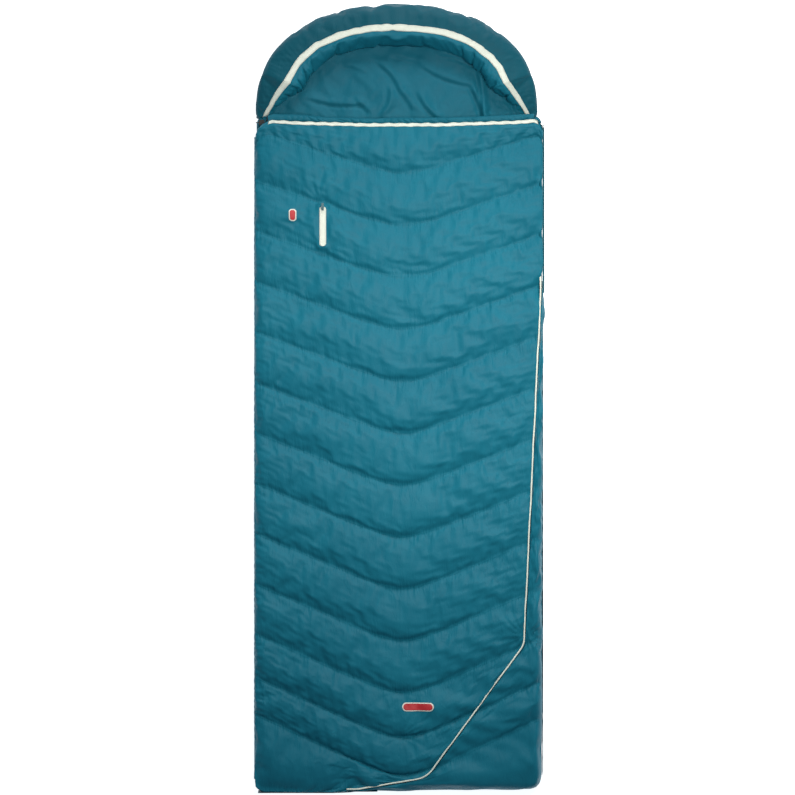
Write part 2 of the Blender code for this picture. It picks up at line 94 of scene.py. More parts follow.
# %% [markdown]
# ## Light
# Two soft boxes do the work. The main one hangs close above the upper right part with a narrow
# spread, so the light falls off toward the foot and the left side. The other stands beyond the
# hood and rakes across the quilting, so each chamber is bright on its hood side and dark above
# its seam.

# %% Floor, sky and soft boxes
SKY_STRENGTH = 0.24
MAIN_POWER = 15.5
FILL_POWER = 130
MAIN_SPREAD = 110


def area_light(name, place, target, size, power, tint, spread=180):
    """A soft box at a place, turned to its target. A smaller spread keeps its light nearer the target."""
    data = bpy.data.lights.new(name, "AREA")
    data.shape = "RECTANGLE"
    data.size = size[0]
    data.size_y = size[1]
    data.energy = power
    data.color = tint
    data.spread = math.radians(spread)
    lamp = bpy.data.objects.new(name, data)
    lamp.location = place
    lamp.rotation_euler = (Vector(target) - Vector(place)).to_track_quat("-Z", "Y").to_euler()
    bpy.context.scene.collection.objects.link(lamp)
    return lamp


def add_stage():
    """A pale floor, an even sky and the soft boxes."""
    bpy.ops.mesh.primitive_plane_add(size=240, location=(0, 0, -0.0005))
    floor = bpy.context.object
    floor.name = "floor"
    paint = bpy.data.materials.new("floor_paint")
    paint.use_nodes = True
    shader = paint.node_tree.nodes["Principled BSDF"]
    shader.inputs["Base Color"].default_value = (0.90, 0.90, 0.90, 1)
    shader.inputs["Roughness"].default_value = 0.9
    shader.inputs["Emission Color"].default_value = (1, 1, 1, 1)
    shader.inputs["Emission Strength"].default_value = 0.85
    floor.data.materials.append(paint)
    sky = bpy.data.worlds.new("sky")
    sky.use_nodes = True
    sky.node_tree.nodes["Background"].inputs["Color"].default_value = (0.62, 0.84, 1.0, 1)
    sky.node_tree.nodes["Background"].inputs["Strength"].default_value = SKY_STRENGTH
    bpy.context.scene.world = sky
    warm, pale = (1, 0.97, 0.91), (1, 0.99, 0.97)
    area_light("main_box", (0.42, 0.52, 1.90), (0.14, 0.06, 0), (1.1, 1.0), MAIN_POWER, warm, MAIN_SPREAD)
    area_light("fill_box", (0.6, 4.4, 2.6), (0, -0.3, 0), (2.4, 1.4), FILL_POWER, pale)


add_stage()
bpy.context.scene.view_settings.view_transform = "Standard"
print("floor, sky and two soft boxes")

# %% [markdown]
# ## The lines that everything follows
# The shell is quilted in chevrons that point at the foot. A seam is a soft V, a hyperbola, so its
# nose is round. The zip leaves the right side near the foot and cuts the corner off. Rows of
# the fabric grids run between the seams, so the stitching always lies exactly on a row.

# %% Seams, neck and zip path
SEAM_COUNT = 13
FIRST_SEAM_Y = 0.640
SEAM_PITCH = 0.1475
FOOT_PITCHES = (0.128, 0.108)
SEAM_CENTRE_X = 0.012
SEAM_SLOPE = 0.33
SEAM_SLOPE_STEP = 0.0125
SEAM_NOSE = 0.062
SHELL_LOW, SHELL_HIGH = (Vector(corner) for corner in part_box("cover_shell"))
BACK_LOW, BACK_HIGH = (Vector(corner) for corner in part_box("back_shell"))
HALF_WIDTH = BACK_HIGH.x
HALF_LENGTH = -BACK_LOW.y
LEFT_X = SHELL_LOW.x
FOOT_Y = SHELL_LOW.y
ZIP_X = SHELL_HIGH.x
NECK_Y = 0.781
NECK_RISE = 0.012
COVER_TOP = SHELL_HIGH.z
LINER_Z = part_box("cover_liner")[0][2]
BACK_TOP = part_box("back_liner")[1][2]


def seam_y(number, x):
    """Height of a chevron seam at x. Seam 1 is nearest the hood."""
    full = min(number - 1, SEAM_COUNT - 1 - len(FOOT_PITCHES))
    low = FIRST_SEAM_Y - SEAM_PITCH * full - sum(FOOT_PITCHES[: number - 1 - full])
    slope = SEAM_SLOPE + SEAM_SLOPE_STEP * (number - 1)
    return low + slope * (np.hypot(x - SEAM_CENTRE_X, SEAM_NOSE) - SEAM_NOSE)


def neck_y(x):
    """Height of the cover's neck edge at x, lowest in the middle."""
    return NECK_Y + NECK_RISE * (x / HALF_WIDTH) ** 2


def rounded(corners):
    """Points through corners (x, y, radius), each corner turned into an arc."""
    points = [Vector(corners[0][:2])]
    for before, here, after in zip(corners, corners[1:], corners[2:]):
        corner = Vector(here[:2])
        back = (Vector(before[:2]) - corner).normalized()
        ahead = (Vector(after[:2]) - corner).normalized()
        reach = here[2] / math.tan(back.angle(ahead) / 2)
        for step in np.linspace(0, 1, 9):
            near = corner + back * reach * (1 - step)
            far = corner + ahead * reach * step
            points.append(near.lerp(far, step))
    points.append(Vector(corners[-1][:2]))
    return np.array(points)


ZIP_PATH = rounded(
    [
        (ZIP_X, 0.782, 0),
        (ZIP_X, 0.300, 1.0),
        (0.3555, -0.700, 0.060),
        (0.080, -1.076, 0.080),
        (-0.140, FOOT_Y, 0.50),
        (LEFT_X + 0.010, FOOT_Y, 0),
    ]
)


def row_y(row, x, top, foot):
    """Height at x of a grid row. Whole rows are seams, and row 0 and the last are the ends."""
    chamber = min(int(row + 1e-9), SEAM_COUNT)
    part = row - chamber
    upper = top(x) if chamber == 0 else seam_y(chamber, x)
    lower = foot + 0 * x if chamber == SEAM_COUNT else seam_y(chamber + 1, x)
    return (1 - part) * upper + part * lower


def zip_crossing(row):
    """The x at which a row of the cover meets the zip path."""
    x = np.linspace(LEFT_X, ZIP_X, 3000)
    low = ZIP_PATH[ZIP_PATH[:, 1] < 0.30][::-1]
    past = row_y(row, x, neck_y, FOOT_Y) < np.interp(x, low[:, 0], low[:, 1]) - 2e-5
    return float(x[past][0]) if past.any() else ZIP_X


print("cover from", round(FOOT_Y, 3), "to", round(neck_y(0), 3), "m, zip path", len(ZIP_PATH), "points")

# %% [markdown]
# ## Padded layers
# Each quilted layer is a closed bag of two fabric sheets on one grid. The seam rows
# are pinned at their stitched depth, the air inside pushes the sheets apart, and the cloth is
# cut a little longer than its frame, which is what makes real puckers along the stitching.

# %% A closed pad from two sheets
def spaced(count, crowd):
    """Numbers from 0 to 1, closer together near both ends."""
    even = np.linspace(0, 1, count)
    return even - crowd * np.sin(2 * math.pi * even) / (2 * math.pi)


def new_mesh(name, points, faces):
    """A linked object with a smooth mesh of these points and faces."""
    mesh = bpy.data.meshes.new(name)
    mesh.from_pydata(points, [], faces)
    for face in mesh.polygons:
        face.use_smooth = True
    obj = bpy.data.objects.new(name, mesh)
    bpy.context.scene.collection.objects.link(obj)
    return obj


def turn_out(obj):
    """Make every face of a closed mesh look outward."""
    work = bmesh.new()
    work.from_mesh(obj.data)
    bmesh.ops.recalc_face_normals(work, faces=work.faces)
    work.to_mesh(obj.data)
    work.free()


def closed_pad(name, upper, lower, map_v, map_u):
    """One closed mesh from an upper and a lower sheet that share their outer ring."""
    rows, columns = upper.shape[:2]
    number = np.arange(rows * columns).reshape(rows, columns)
    under = number.copy()
    inner = (slice(1, -1), slice(1, -1))
    under[inner] = rows * columns + np.arange((rows - 2) * (columns - 2)).reshape(rows - 2, columns - 2)
    points = np.concatenate([upper.reshape(-1, 3), lower[inner].reshape(-1, 3)])
    faces = []
    for sheet, way in ((number, 1), (under, -1)):
        quad = np.stack([sheet[:-1, :-1], sheet[1:, :-1], sheet[1:, 1:], sheet[:-1, 1:]], -1)
        faces.append(quad.reshape(-1, 4)[:, ::way])
    obj = new_mesh(name, points.tolist(), np.concatenate(faces).tolist())
    mesh = obj.data
    across = np.concatenate([map_u.reshape(-1), map_u[inner].reshape(-1)])
    along = np.concatenate([map_v.reshape(-1), map_v[inner].reshape(-1)])
    corner = np.zeros(len(mesh.loops), np.int32)
    mesh.loops.foreach_get("vertex_index", corner)
    layer = mesh.uv_layers.new(name="seam_map")
    flat = np.stack([across[corner], along[corner]], -1)
    layer.data.foreach_set("uv", flat.reshape(-1).astype(np.float32))
    return obj, under


def pin(obj, numbers, weight=1.0):
    """Hold some points of a pad where they are."""
    group = obj.vertex_groups.get("pinned") or obj.vertex_groups.new(name="pinned")
    group.add([int(n) for n in numbers], weight, "REPLACE")


CLOTHS = []


def add_cloth(obj, pressure, extra, bending, reach):
    """Cloth settings on a pad: air pressure, cloth a little longer than its frame, and pinned seams."""
    cloth = obj.modifiers.new("cloth", "CLOTH")
    cloth.settings.quality = 4
    cloth.settings.mass = 0.15
    cloth.settings.tension_stiffness = 30
    cloth.settings.compression_stiffness = 30
    cloth.settings.shear_stiffness = 12
    cloth.settings.bending_stiffness = bending
    cloth.settings.air_damping = 4
    cloth.settings.tension_damping = 8
    cloth.settings.compression_damping = 8
    cloth.settings.use_pressure = True
    cloth.settings.uniform_pressure_force = pressure
    cloth.settings.shrink_min = -extra
    cloth.settings.shrink_max = -extra
    cloth.settings.vertex_group_mass = "pinned"
    cloth.settings.effector_weights.gravity = 0
    cloth.collision_settings.use_collision = False
    cloth.point_cache.frame_start = 1
    cloth.point_cache.frame_end = FRAMES
    CLOTHS.append((obj, reach))


def run_cloths():
    """Step all the cloths together, cap how far a point moved, and keep the shape."""
    scene = bpy.context.scene
    for step in range(1, FRAMES + 1):
        scene.frame_set(step)
    depsgraph = bpy.context.evaluated_depsgraph_get()
    for obj, reach in CLOTHS:
        shaped = obj.evaluated_get(depsgraph).to_mesh()
        count = len(obj.data.vertices)
        start = np.zeros(count * 3, np.float32)
        end = np.zeros(count * 3, np.float32)
        obj.data.vertices.foreach_get("co", start)
        shaped.vertices.foreach_get("co", end)
        move = (end - start).reshape(-1, 3)
        length = np.linalg.norm(move, axis=1)
        print(obj.name, "moved", round(float(length.mean()) * 1000, 1), "mm on average, at most",
              round(float(length.max()) * 1000, 1))
        move *= np.minimum(1, reach / np.maximum(length, 1e-9))[:, None]
        obj.data.vertices.foreach_set("co", (start.reshape(-1, 3) + move).reshape(-1))
        obj.modifiers.clear()
        obj.data.update()
    scene.frame_set(1)


FRAMES = 20
print("cloth helpers ready,", FRAMES, "frames")

# %% [markdown]
# ## Shared fabric effects
# All the cloth here is thin nylon. Two effects repeat: the fine plain weave, and the small
# puckers that run away from a line of stitching. Each is a node group with its own inputs.
# The groups put out heights and masks, and the shader itself stays in each material.

# %% Node helpers
def link(tree, source, target):
    """Join two sockets of a node tree."""
    tree.links.new(source, target)


def add_node(tree, kind, **settings):
    """A node with some of its properties set."""
    made = tree.nodes.new(kind)
    for name, value in settings.items():
        setattr(made, name, value)
    return made


def maths(tree, operation, first, second=None, clamp=False):
    """A Math node on sockets or plain numbers."""
    made = add_node(tree, "ShaderNodeMath", operation=operation, use_clamp=clamp)
    for socket, value in zip(made.inputs, (first, second)):
        if isinstance(value, bpy.types.NodeSocket):
            link(tree, value, socket)
        elif value is not None:
            socket.default_value = value
    return made.outputs[0]


def stretched(tree, source, scale):
    """Coordinates scaled apart along each axis."""
    made = add_node(tree, "ShaderNodeMapping")
    made.inputs["Scale"].default_value = scale
    link(tree, source, made.inputs["Vector"])
    return made.outputs[0]


def noise(tree, source, scale, detail=3.0, roughness=0.5, distortion=0.0):
    """A Noise texture's grey value."""
    made = add_node(tree, "ShaderNodeTexNoise")
    made.inputs["Scale"].default_value = scale
    made.inputs["Detail"].default_value = detail
    made.inputs["Roughness"].default_value = roughness
    made.inputs["Distortion"].default_value = distortion
    link(tree, source, made.inputs["Vector"])
    return made.outputs["Fac"]


def new_material(name):
    """A material with its tree, its shader and its Object coordinates."""
    made = bpy.data.materials.new(name)
    made.use_nodes = True
    tree = made.node_tree
    where = add_node(tree, "ShaderNodeTexCoord").outputs["Object"]
    return made, tree, tree.nodes["Principled BSDF"], where


def grouped(tree, group, socket, source):
    """A node group on a tree, fed from a source."""
    made = add_node(tree, "ShaderNodeGroup", node_tree=group)
    link(tree, source, made.inputs[socket])
    return made


def two_colours(tree, shader, dark, light, factor):
    """Base colour between a dark and a light tone by a factor."""
    mixed = add_node(tree, "ShaderNodeMix", data_type="RGBA")
    mixed.inputs["A"].default_value = (*dark, 1)
    mixed.inputs["B"].default_value = (*light, 1)
    link(tree, factor, mixed.inputs["Factor"])
    link(tree, mixed.outputs["Result"], shader.inputs["Base Color"])


def bumped(tree, shader, height, distance):
    """Turn a height into the shader's normal."""
    bump = add_node(tree, "ShaderNodeBump")
    bump.inputs["Distance"].default_value = distance
    link(tree, height, bump.inputs["Height"])
    link(tree, bump.outputs[0], shader.inputs["Normal"])


def new_group(name, inputs, outputs):
    """An empty node group with its sockets."""
    group = bpy.data.node_groups.new(name, "ShaderNodeTree")
    for socket, kind, value in inputs:
        made = group.interface.new_socket(socket, in_out="INPUT", socket_type=kind)
        if value is not None:
            made.default_value = value
    for socket, kind in outputs:
        group.interface.new_socket(socket, in_out="OUTPUT", socket_type=kind)
    return group, group.nodes.new("NodeGroupInput"), group.nodes.new("NodeGroupOutput")


# %% The weave group
def weave_group():
    """Crossed threads in Object coordinates: a height."""
    group, into, out = new_group(
        "weave",
        [("Vector", "NodeSocketVector", None), ("Threads", "NodeSocketFloat", 900.0)],
        [("Height", "NodeSocketFloat")],
    )
    parts = add_node(group, "ShaderNodeSeparateXYZ")
    link(group, into.outputs["Vector"], parts.inputs[0])
    waves = []
    for axis in ("X", "Y"):
        turned = maths(group, "MULTIPLY", parts.outputs[axis], into.outputs["Threads"])
        waves.append(maths(group, "SINE", maths(group, "MULTIPLY", turned, 2 * math.pi)))
    crossed = maths(group, "MULTIPLY", waves[0], waves[1])
    link(group, maths(group, "MULTIPLY_ADD", crossed, 0.5), out.inputs["Height"])
    return group


# %% The pucker group
def pucker_group():
    """Small folds that run away from each seam and fade in the middle of a chamber."""
    group, into, out = new_group(
        "seam_puckers",
        [("Seam map", "NodeSocketVector", None), ("Spacing", "NodeSocketFloat", 60.0)],
        [("Height", "NodeSocketFloat"), ("Nearness", "NodeSocketFloat")],
    )
    parts = add_node(group, "ShaderNodeSeparateXYZ")
    link(group, into.outputs["Seam map"], parts.inputs[0])
    fraction = maths(group, "FRACT", parts.outputs["Y"])
    away = maths(group, "ABSOLUTE", maths(group, "SUBTRACT", fraction, 0.5))
    nearness = maths(group, "POWER", maths(group, "MULTIPLY", away, 2.0), 3.0)
    joined = add_node(group, "ShaderNodeCombineXYZ")
    across = maths(group, "MULTIPLY", parts.outputs["X"], into.outputs["Spacing"])
    link(group, across, joined.inputs["X"])
    link(group, maths(group, "MULTIPLY", parts.outputs["Y"], 1.6), joined.inputs["Y"])
    folds = noise(group, joined.outputs[0], 1.0, 3.0, 0.55, 0.4)
    ridged = maths(group, "ABSOLUTE", maths(group, "SUBTRACT", folds, 0.5))
    height = maths(group, "MULTIPLY", maths(group, "SUBTRACT", 0.5, ridged), nearness)
    link(group, height, out.inputs["Height"])
    link(group, nearness, out.inputs["Nearness"])
    return group


# %% The stitch group
def stitch_group():
    """Two rows of short stitches along the edges of a tape, from its map in metres and 0 to 1."""
    group, into, out = new_group(
        "stitch_rows",
        [("Seam map", "NodeSocketVector", None), ("Stitches", "NodeSocketFloat", 240.0)],
        [("Mask", "NodeSocketFloat")],
    )
    parts = add_node(group, "ShaderNodeSeparateXYZ")
    link(group, into.outputs["Seam map"], parts.inputs[0])
    away = maths(group, "ABSOLUTE", maths(group, "SUBTRACT", parts.outputs["Y"], 0.5))
    beside = maths(group, "ABSOLUTE", maths(group, "SUBTRACT", away, 0.35))
    row = maths(group, "LESS_THAN", beside, 0.035)
    dash = maths(group, "FRACT", maths(group, "MULTIPLY", parts.outputs["X"], into.outputs["Stitches"]))
    link(group, maths(group, "MULTIPLY", row, maths(group, "LESS_THAN", dash, 0.65)), out.inputs["Mask"])
    return group


WEAVE = weave_group()
PUCKERS = pucker_group()
STITCHES = stitch_group()
print("groups:", WEAVE.name, PUCKERS.name, STITCHES.name)

# %% [markdown]
# ## The cloths
# The shell is a calendered nylon taffeta, so it has a low sheen and crinkles sharply. The
# lining is softer and darker. The binding is an off-white woven tape with two lines of stitching.

# %% Shell and lining fabric
def fabric(name, dark, light, roughness, crinkle, pucker, sheen):
    """Nylon cloth with a slow colour drift, fine crinkles, puckers and a plain weave."""
    made, tree, shader, where = new_material(name)
    drift = noise(tree, where, 2.2, 3.0, 0.5)
    fine = noise(tree, stretched(tree, where, (1.0, 0.45, 1.0)), 34.0, 5.0, 0.55, 0.5)
    share = maths(tree, "ADD", maths(tree, "MULTIPLY", drift, 0.7), maths(tree, "MULTIPLY", fine, 0.5))
    two_colours(tree, shader, dark, light, maths(tree, "SUBTRACT", share, 0.1, True))
    shine = maths(tree, "MULTIPLY_ADD", fine, 0.16)
    shine.node.inputs[2].default_value = roughness - 0.08
    link(tree, shine, shader.inputs["Roughness"])
    shader.inputs["Specular IOR Level"].default_value = 0.12
    shader.inputs["Sheen Weight"].default_value = sheen
    shader.inputs["Sheen Roughness"].default_value = 0.45
    shader.inputs["Sheen Tint"].default_value = (*light, 1)
    weave = grouped(tree, WEAVE, "Vector", where)
    seam_map = add_node(tree, "ShaderNodeUVMap", uv_map="seam_map")
    seams = grouped(tree, PUCKERS, "Seam map", seam_map.outputs[0])
    ridges = maths(tree, "ABSOLUTE", maths(tree, "SUBTRACT", fine, 0.5))
    height = maths(tree, "MULTIPLY", ridges, -crinkle)
    height = maths(tree, "ADD", height, maths(tree, "MULTIPLY", seams.outputs["Height"], pucker))
    height = maths(tree, "ADD", height, maths(tree, "MULTIPLY", weave.outputs["Height"], 0.00003))
    bumped(tree, shader, height, 1.0)
    return made


SHELL = fabric("shell_nylon", (0.0045, 0.105, 0.160), (0.0095, 0.170, 0.240), 0.50, 0.0026, 0.0075, 0.03)
LINING = fabric("lining_nylon", (0.0045, 0.090, 0.135), (0.0090, 0.140, 0.200), 0.56, 0.0020, 0.0025, 0.03)
# A darker copy of the shell nylon for the rim's outer band: painted shade, because that band faces the main
# box and would come out too bright in the body's colour.
HOOD_SHADED_DARK, HOOD_SHADED_LIGHT = (0.0030, 0.062, 0.092), (0.0065, 0.097, 0.136)
HOOD_SHELL_SHADED = fabric("hood_nylon_painted_shade", HOOD_SHADED_DARK, HOOD_SHADED_LIGHT, 0.54, 0.0022, 0.0025, 0.03)


# %% Binding, plastic, metal and cord
def woven(name, colour, shade, threads, roughness, stitched=False):
    """A thick woven tape: ribs across it, a little grime, no gloss, and perhaps two rows of stitches."""
    made, tree, shader, where = new_material(name)
    spots = noise(tree, where, 60.0, 4.0, 0.6)
    share = maths(tree, "MULTIPLY", spots, 1.2, True)
    height = maths(tree, "MULTIPLY", spots, 0.0010)
    if stitched:
        seam_map = add_node(tree, "ShaderNodeUVMap", uv_map="seam_map")
        rows = grouped(tree, STITCHES, "Seam map", seam_map.outputs[0])
        share = maths(tree, "SUBTRACT", share, rows.outputs["Mask"], True)
        height = maths(tree, "SUBTRACT", height, maths(tree, "MULTIPLY", rows.outputs["Mask"], 0.0003))
    two_colours(tree, shader, shade, colour, share)
    shader.inputs["Roughness"].default_value = roughness
    shader.inputs["Sheen Weight"].default_value = 0.1
    weave = grouped(tree, WEAVE, "Vector", where)
    weave.inputs["Threads"].default_value = threads
    height = maths(tree, "ADD", height, maths(tree, "MULTIPLY", weave.outputs["Height"], 0.00012))
    bumped(tree, shader, height, 1.0)
    return made


def moulded(name, colour, roughness, metallic):
    """Moulded plastic or cast metal with a fine grain and rubbed patches."""
    made, tree, shader, where = new_material(name)
    grain = noise(tree, where, 900.0, 3.0, 0.6)
    rubbed = noise(tree, where, 120.0, 2.0, 0.5)
    shader.inputs["Base Color"].default_value = (*colour, 1)
    shader.inputs["Metallic"].default_value = metallic
    value = maths(tree, "MULTIPLY_ADD", rubbed, 0.25)
    value.node.inputs[2].default_value = roughness - 0.12
    link(tree, value, shader.inputs["Roughness"])
    bumped(tree, shader, grain, 0.0001)
    return made


BINDING = woven("white_binding_tape", (0.78, 0.80, 0.70), (0.60, 0.63, 0.55), 700.0, 0.7, True)
PIPING = woven("pale_piping", (0.80, 0.82, 0.72), (0.62, 0.65, 0.56), 700.0, 0.6)
ZIP_TAPE = woven("zip_tape_teal", (0.020, 0.160, 0.210), (0.012, 0.110, 0.150), 900.0, 0.7)
PATCH_RED = woven("patch_red_thread", (0.52, 0.015, 0.020), (0.36, 0.008, 0.012), 500.0, 0.55)
PATCH_CREAM = woven("patch_cream_thread", (0.80, 0.78, 0.70), (0.64, 0.62, 0.55), 500.0, 0.6)
CORD_BLACK = woven("black_braid", (0.020, 0.020, 0.022), (0.008, 0.008, 0.009), 600.0, 0.7)
PLASTIC = moulded("black_plastic", (0.010, 0.010, 0.011), 0.45, 0.0)
COIL_PLASTIC = moulded("coil_nylon", (0.030, 0.110, 0.135), 0.40, 0.0)
METAL = moulded("slider_metal", (0.42, 0.43, 0.44), 0.36, 1.0)
print(len(bpy.data.materials), "materials")

# %% [markdown]
# ## The cover
# The cover is the big padded front. Its rows follow the chevrons, so each stitched line is one
# row of the grid. Along the straight part of the zip its edge hangs over the zip, and near the
# chest pocket a short line is held down, which gives the small star of folds at each end.

# %% Grid of the cover
ROWS_EACH = 16
COLUMNS = 97
EDGE_WIDTH = 0.034
SEAM_LEVEL = COVER_TOP - 0.016
CREST_LEVEL = COVER_TOP + 0.002
RING_LEVEL = 0.060
OVERHANG = 0.0070
OVERHANG_LEVEL = 0.0805
LEFT_ROUND = 0.062
POCKET_LOW, POCKET_HIGH = (Vector(corner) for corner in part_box("pocket_zip_tape"))
POCKET_X = (POCKET_LOW.x + POCKET_HIGH.x) / 2
FOOT_ROUND = 0.032


def step_up(value, start, end):
    """0 before start, 1 after end, smooth between."""
    part = np.clip((value - start) / (end - start), 0, 1)
    return part * part * (3 - 2 * part)


def round_edge(distance, width):
    """A quarter-circle rise from 0 at an edge to 1."""
    return np.sqrt(1 - (1 - np.clip(distance / width, 0, 1)) ** 2)


def waver(x, seed, size, length):
    """A slow random wave along x, the same on each run."""
    source = np.random.default_rng(seed)
    total = np.zeros_like(x)
    for octave in (1.0, 0.53, 0.29):
        total += octave * np.sin(2 * math.pi * x / (length * octave) + source.uniform(0, 6.28))
    return size * total / 1.82


def chamber_lift(row, x, depth):
    """How far a point stands above its stitching, rounder on the hood side of a chamber."""
    part = row % 1.0
    shape = np.sin(math.pi * part ** 0.9) ** 0.75
    return depth * shape * (1 + waver(x + 1.7 * np.floor(row), 11, 0.10, 0.45))


def rounding(distance, radius):
    """How far an edge drops near a round corner of a radius."""
    near = np.clip(radius - distance, 0, radius)
    return radius - np.sqrt(radius ** 2 - near ** 2)


def cover_grid():
    """Upper and lower sheets of the cover, with the seam map."""
    rows = np.linspace(0, SEAM_COUNT + 1, (SEAM_COUNT + 1) * ROWS_EACH + 1)
    across = spaced(COLUMNS, 0.35)
    upper = np.zeros((len(rows), COLUMNS, 3))
    hang = np.zeros(len(rows))
    for i, row in enumerate(rows):
        end = zip_crossing(row)
        end_y = float(row_y(row, np.array([end]), neck_y, FOOT_Y)[0])
        hang[i] = step_up(end_y, 0.320, 0.375)
        x = LEFT_X + across * (end + OVERHANG * hang[i] - LEFT_X)
        upper[i, :, 0] = x
        upper[i, :, 1] = row_y(row, x, neck_y, FOOT_Y)
    drop = rounding(upper[:, :, 0] - LEFT_X, LEFT_ROUND)
    drop = drop + rounding(upper[:, -1:, 0] - upper[:, :, 0], 0.034)
    upper[:, :, 1] -= drop * (1 - step_up(upper[0:1, :, 1] - upper[:, :, 1], 0, 0.14))
    nip = np.exp(-((np.abs(rows - np.round(rows)) / 0.10) ** 2))[:, None]
    nip = nip * (0.5 + 0.5 * np.sin(rows * 9.1) ** 2)[:, None]
    upper[:, :, 0] += 0.0035 * nip * (1 - step_up(upper[:, :, 0] - LEFT_X, 0, 0.03))
    inset = upper[:, -1:, 0] - upper[:, :, 0]
    upper[:, :, 0] -= 0.0030 * nip * hang[:, None] * (1 - step_up(inset, 0, 0.03))
    row_map = np.repeat(rows[:, None], COLUMNS, 1)
    ring = RING_LEVEL + (OVERHANG_LEVEL - RING_LEVEL) * hang[:, None] * step_up(across, 0.90, 0.99)
    on_top = step_up(upper[:, -1:, 1] * -1, -0.30, -0.26) * step_up(upper[:, -1:, 0], -0.20, -0.12)
    ring = ring + (0.078 - RING_LEVEL) * on_top * step_up(across, 0.75, 0.97)
    tongue = 1 - step_up(upper[:, :, 0], -0.150, -0.110)
    last = step_up(row_map, SEAM_COUNT + 0.60, SEAM_COUNT + 1) ** 2
    corner = rounding(upper[:, :, 0] - LEFT_X, FOOT_ROUND)
    upper[:, :, 1] += corner * step_up(row_map, SEAM_COUNT + 0.40, SEAM_COUNT + 1) - 0.0075 * tongue * last
    ring = np.maximum(ring, RING_LEVEL + (0.0785 - RING_LEVEL) * tongue * last)
    foot_edge = FOOT_Y - 0.0075 * tongue + corner
    left = round_edge(upper[:, :, 0] - LEFT_X, EDGE_WIDTH)
    right = round_edge(upper[:, -1:, 0] - upper[:, :, 0], EDGE_WIDTH * (1 - 0.55 * on_top))
    neck = round_edge(upper[0:1, :, 1] - upper[:, :, 1], 0.014)
    foot = round_edge(upper[:, :, 1] - foot_edge, EDGE_WIDTH)
    rise = np.minimum(np.minimum(left, right), np.minimum(neck, foot))
    lift = chamber_lift(row_map, upper[:, :, 0], CREST_LEVEL - SEAM_LEVEL)
    faint = np.exp(-(((row_map - 1) / 0.25) ** 2)) * (1 - step_up(upper[:, :, 0], -0.30, -0.06))
    lift = lift * (1 - 0.5 * faint)
    seam = SEAM_LEVEL + waver(upper[:, :, 0] * 1.0 + row_map, 5, 0.0012, 0.11) + 0.0085 * faint
    neck_ring = 0.012 * (1 - step_up(row_map, 0, 0.15))
    ring = ring + neck_ring
    upper[:, :, 2] = ring + (seam + lift - ring) * rise
    lower = upper.copy()
    inset = np.clip(upper[:, -1:, 0] - upper[:, :, 0] - 0.010 * hang[:, None], 0, None)
    over_zip = round_edge(np.clip(upper[:, :, 1] - foot_edge - 0.0110 * tongue, 0, None), 0.02)
    below = np.minimum(np.minimum(left, round_edge(inset, 0.02)), np.minimum(neck, over_zip))
    lower[:, :, 2] = ring - (ring - LINER_Z - 0.002) * below
    return upper, lower, row_map


def pocket_hold(upper):
    """Numbers of the grid points under the pocket zip."""
    x = upper[:, :, 0]
    y = upper[:, :, 1]
    inside = (abs(x - POCKET_X) < 0.012) & (y > POCKET_LOW.y - 0.004) & (y < POCKET_HIGH.y + 0.004)
    return np.flatnonzero(inside.reshape(-1))


def build_cover():
    """The cover's pad with its pinned lines."""
    upper, lower, row_map = cover_grid()
    held = pocket_hold(upper)
    flat_upper = upper.reshape(-1, 3)
    ends = np.minimum(abs(flat_upper[held, 1] - POCKET_LOW.y), abs(flat_upper[held, 1] - POCKET_HIGH.y))
    flat_upper[held, 2] = COVER_TOP - 0.0010 - 0.004 * (1 - step_up(ends, 0, 0.02))
    obj, under = closed_pad("cover_quilt", upper, lower, row_map, upper[:, :, 0])
    number = np.arange(row_map.size).reshape(row_map.shape)
    for seam in range(SEAM_COUNT + 2):
        pin(obj, number[seam * ROWS_EACH])
        pin(obj, under[seam * ROWS_EACH])
    pin(obj, under[-2])
    pin(obj, under[-3])
    pin(obj, number[:, 0])
    pin(obj, number[:, -1])
    pin(obj, held)
    obj.data.materials.append(SHELL)
    obj.data.materials.append(LINING)
    quads = (row_map.shape[0] - 1) * (row_map.shape[1] - 1)
    slots = np.repeat([0, 1], quads).astype(np.int32)
    obj.data.polygons.foreach_set("material_index", slots)
    add_cloth(obj, 2.5, 0.020, 0.12, 0.014)
    return obj


COVER = build_cover()
print("cover grid", len(COVER.data.vertices), "points")

# %% [markdown]
# ## The underlay
# The back of the bag is the same kind of pad, and lies on the ground. Its lower sheet is flat
# where it rests. Beside the zip it wraps up to the cover's level in a strip that widens
# to the cut-off foot corner. That wrap is a pad of its own on the same seam rows.

# %% Grid of the underlay
BACK_ROWS_EACH = 8
BACK_COLUMNS = 49
PAD_EDGE = 0.0010
BACK_RIGHT = HALF_WIDTH - PAD_EDGE
BACK_TOP_Y = BACK_HIGH.y - 0.001
BACK_FOOT_Y = -HALF_LENGTH + PAD_EDGE
FOOT_RADIUS = 0.040


def back_top_y(x):
    """The underlay's straight end at the hood's hinge."""
    return BACK_TOP_Y + 0 * x


def corner_inset(y, radius):
    """How far a side pulls in near the foot for a round corner."""
    near = np.clip(BACK_FOOT_Y + radius - y, 0, radius)
    return radius - np.sqrt(radius ** 2 - near ** 2)


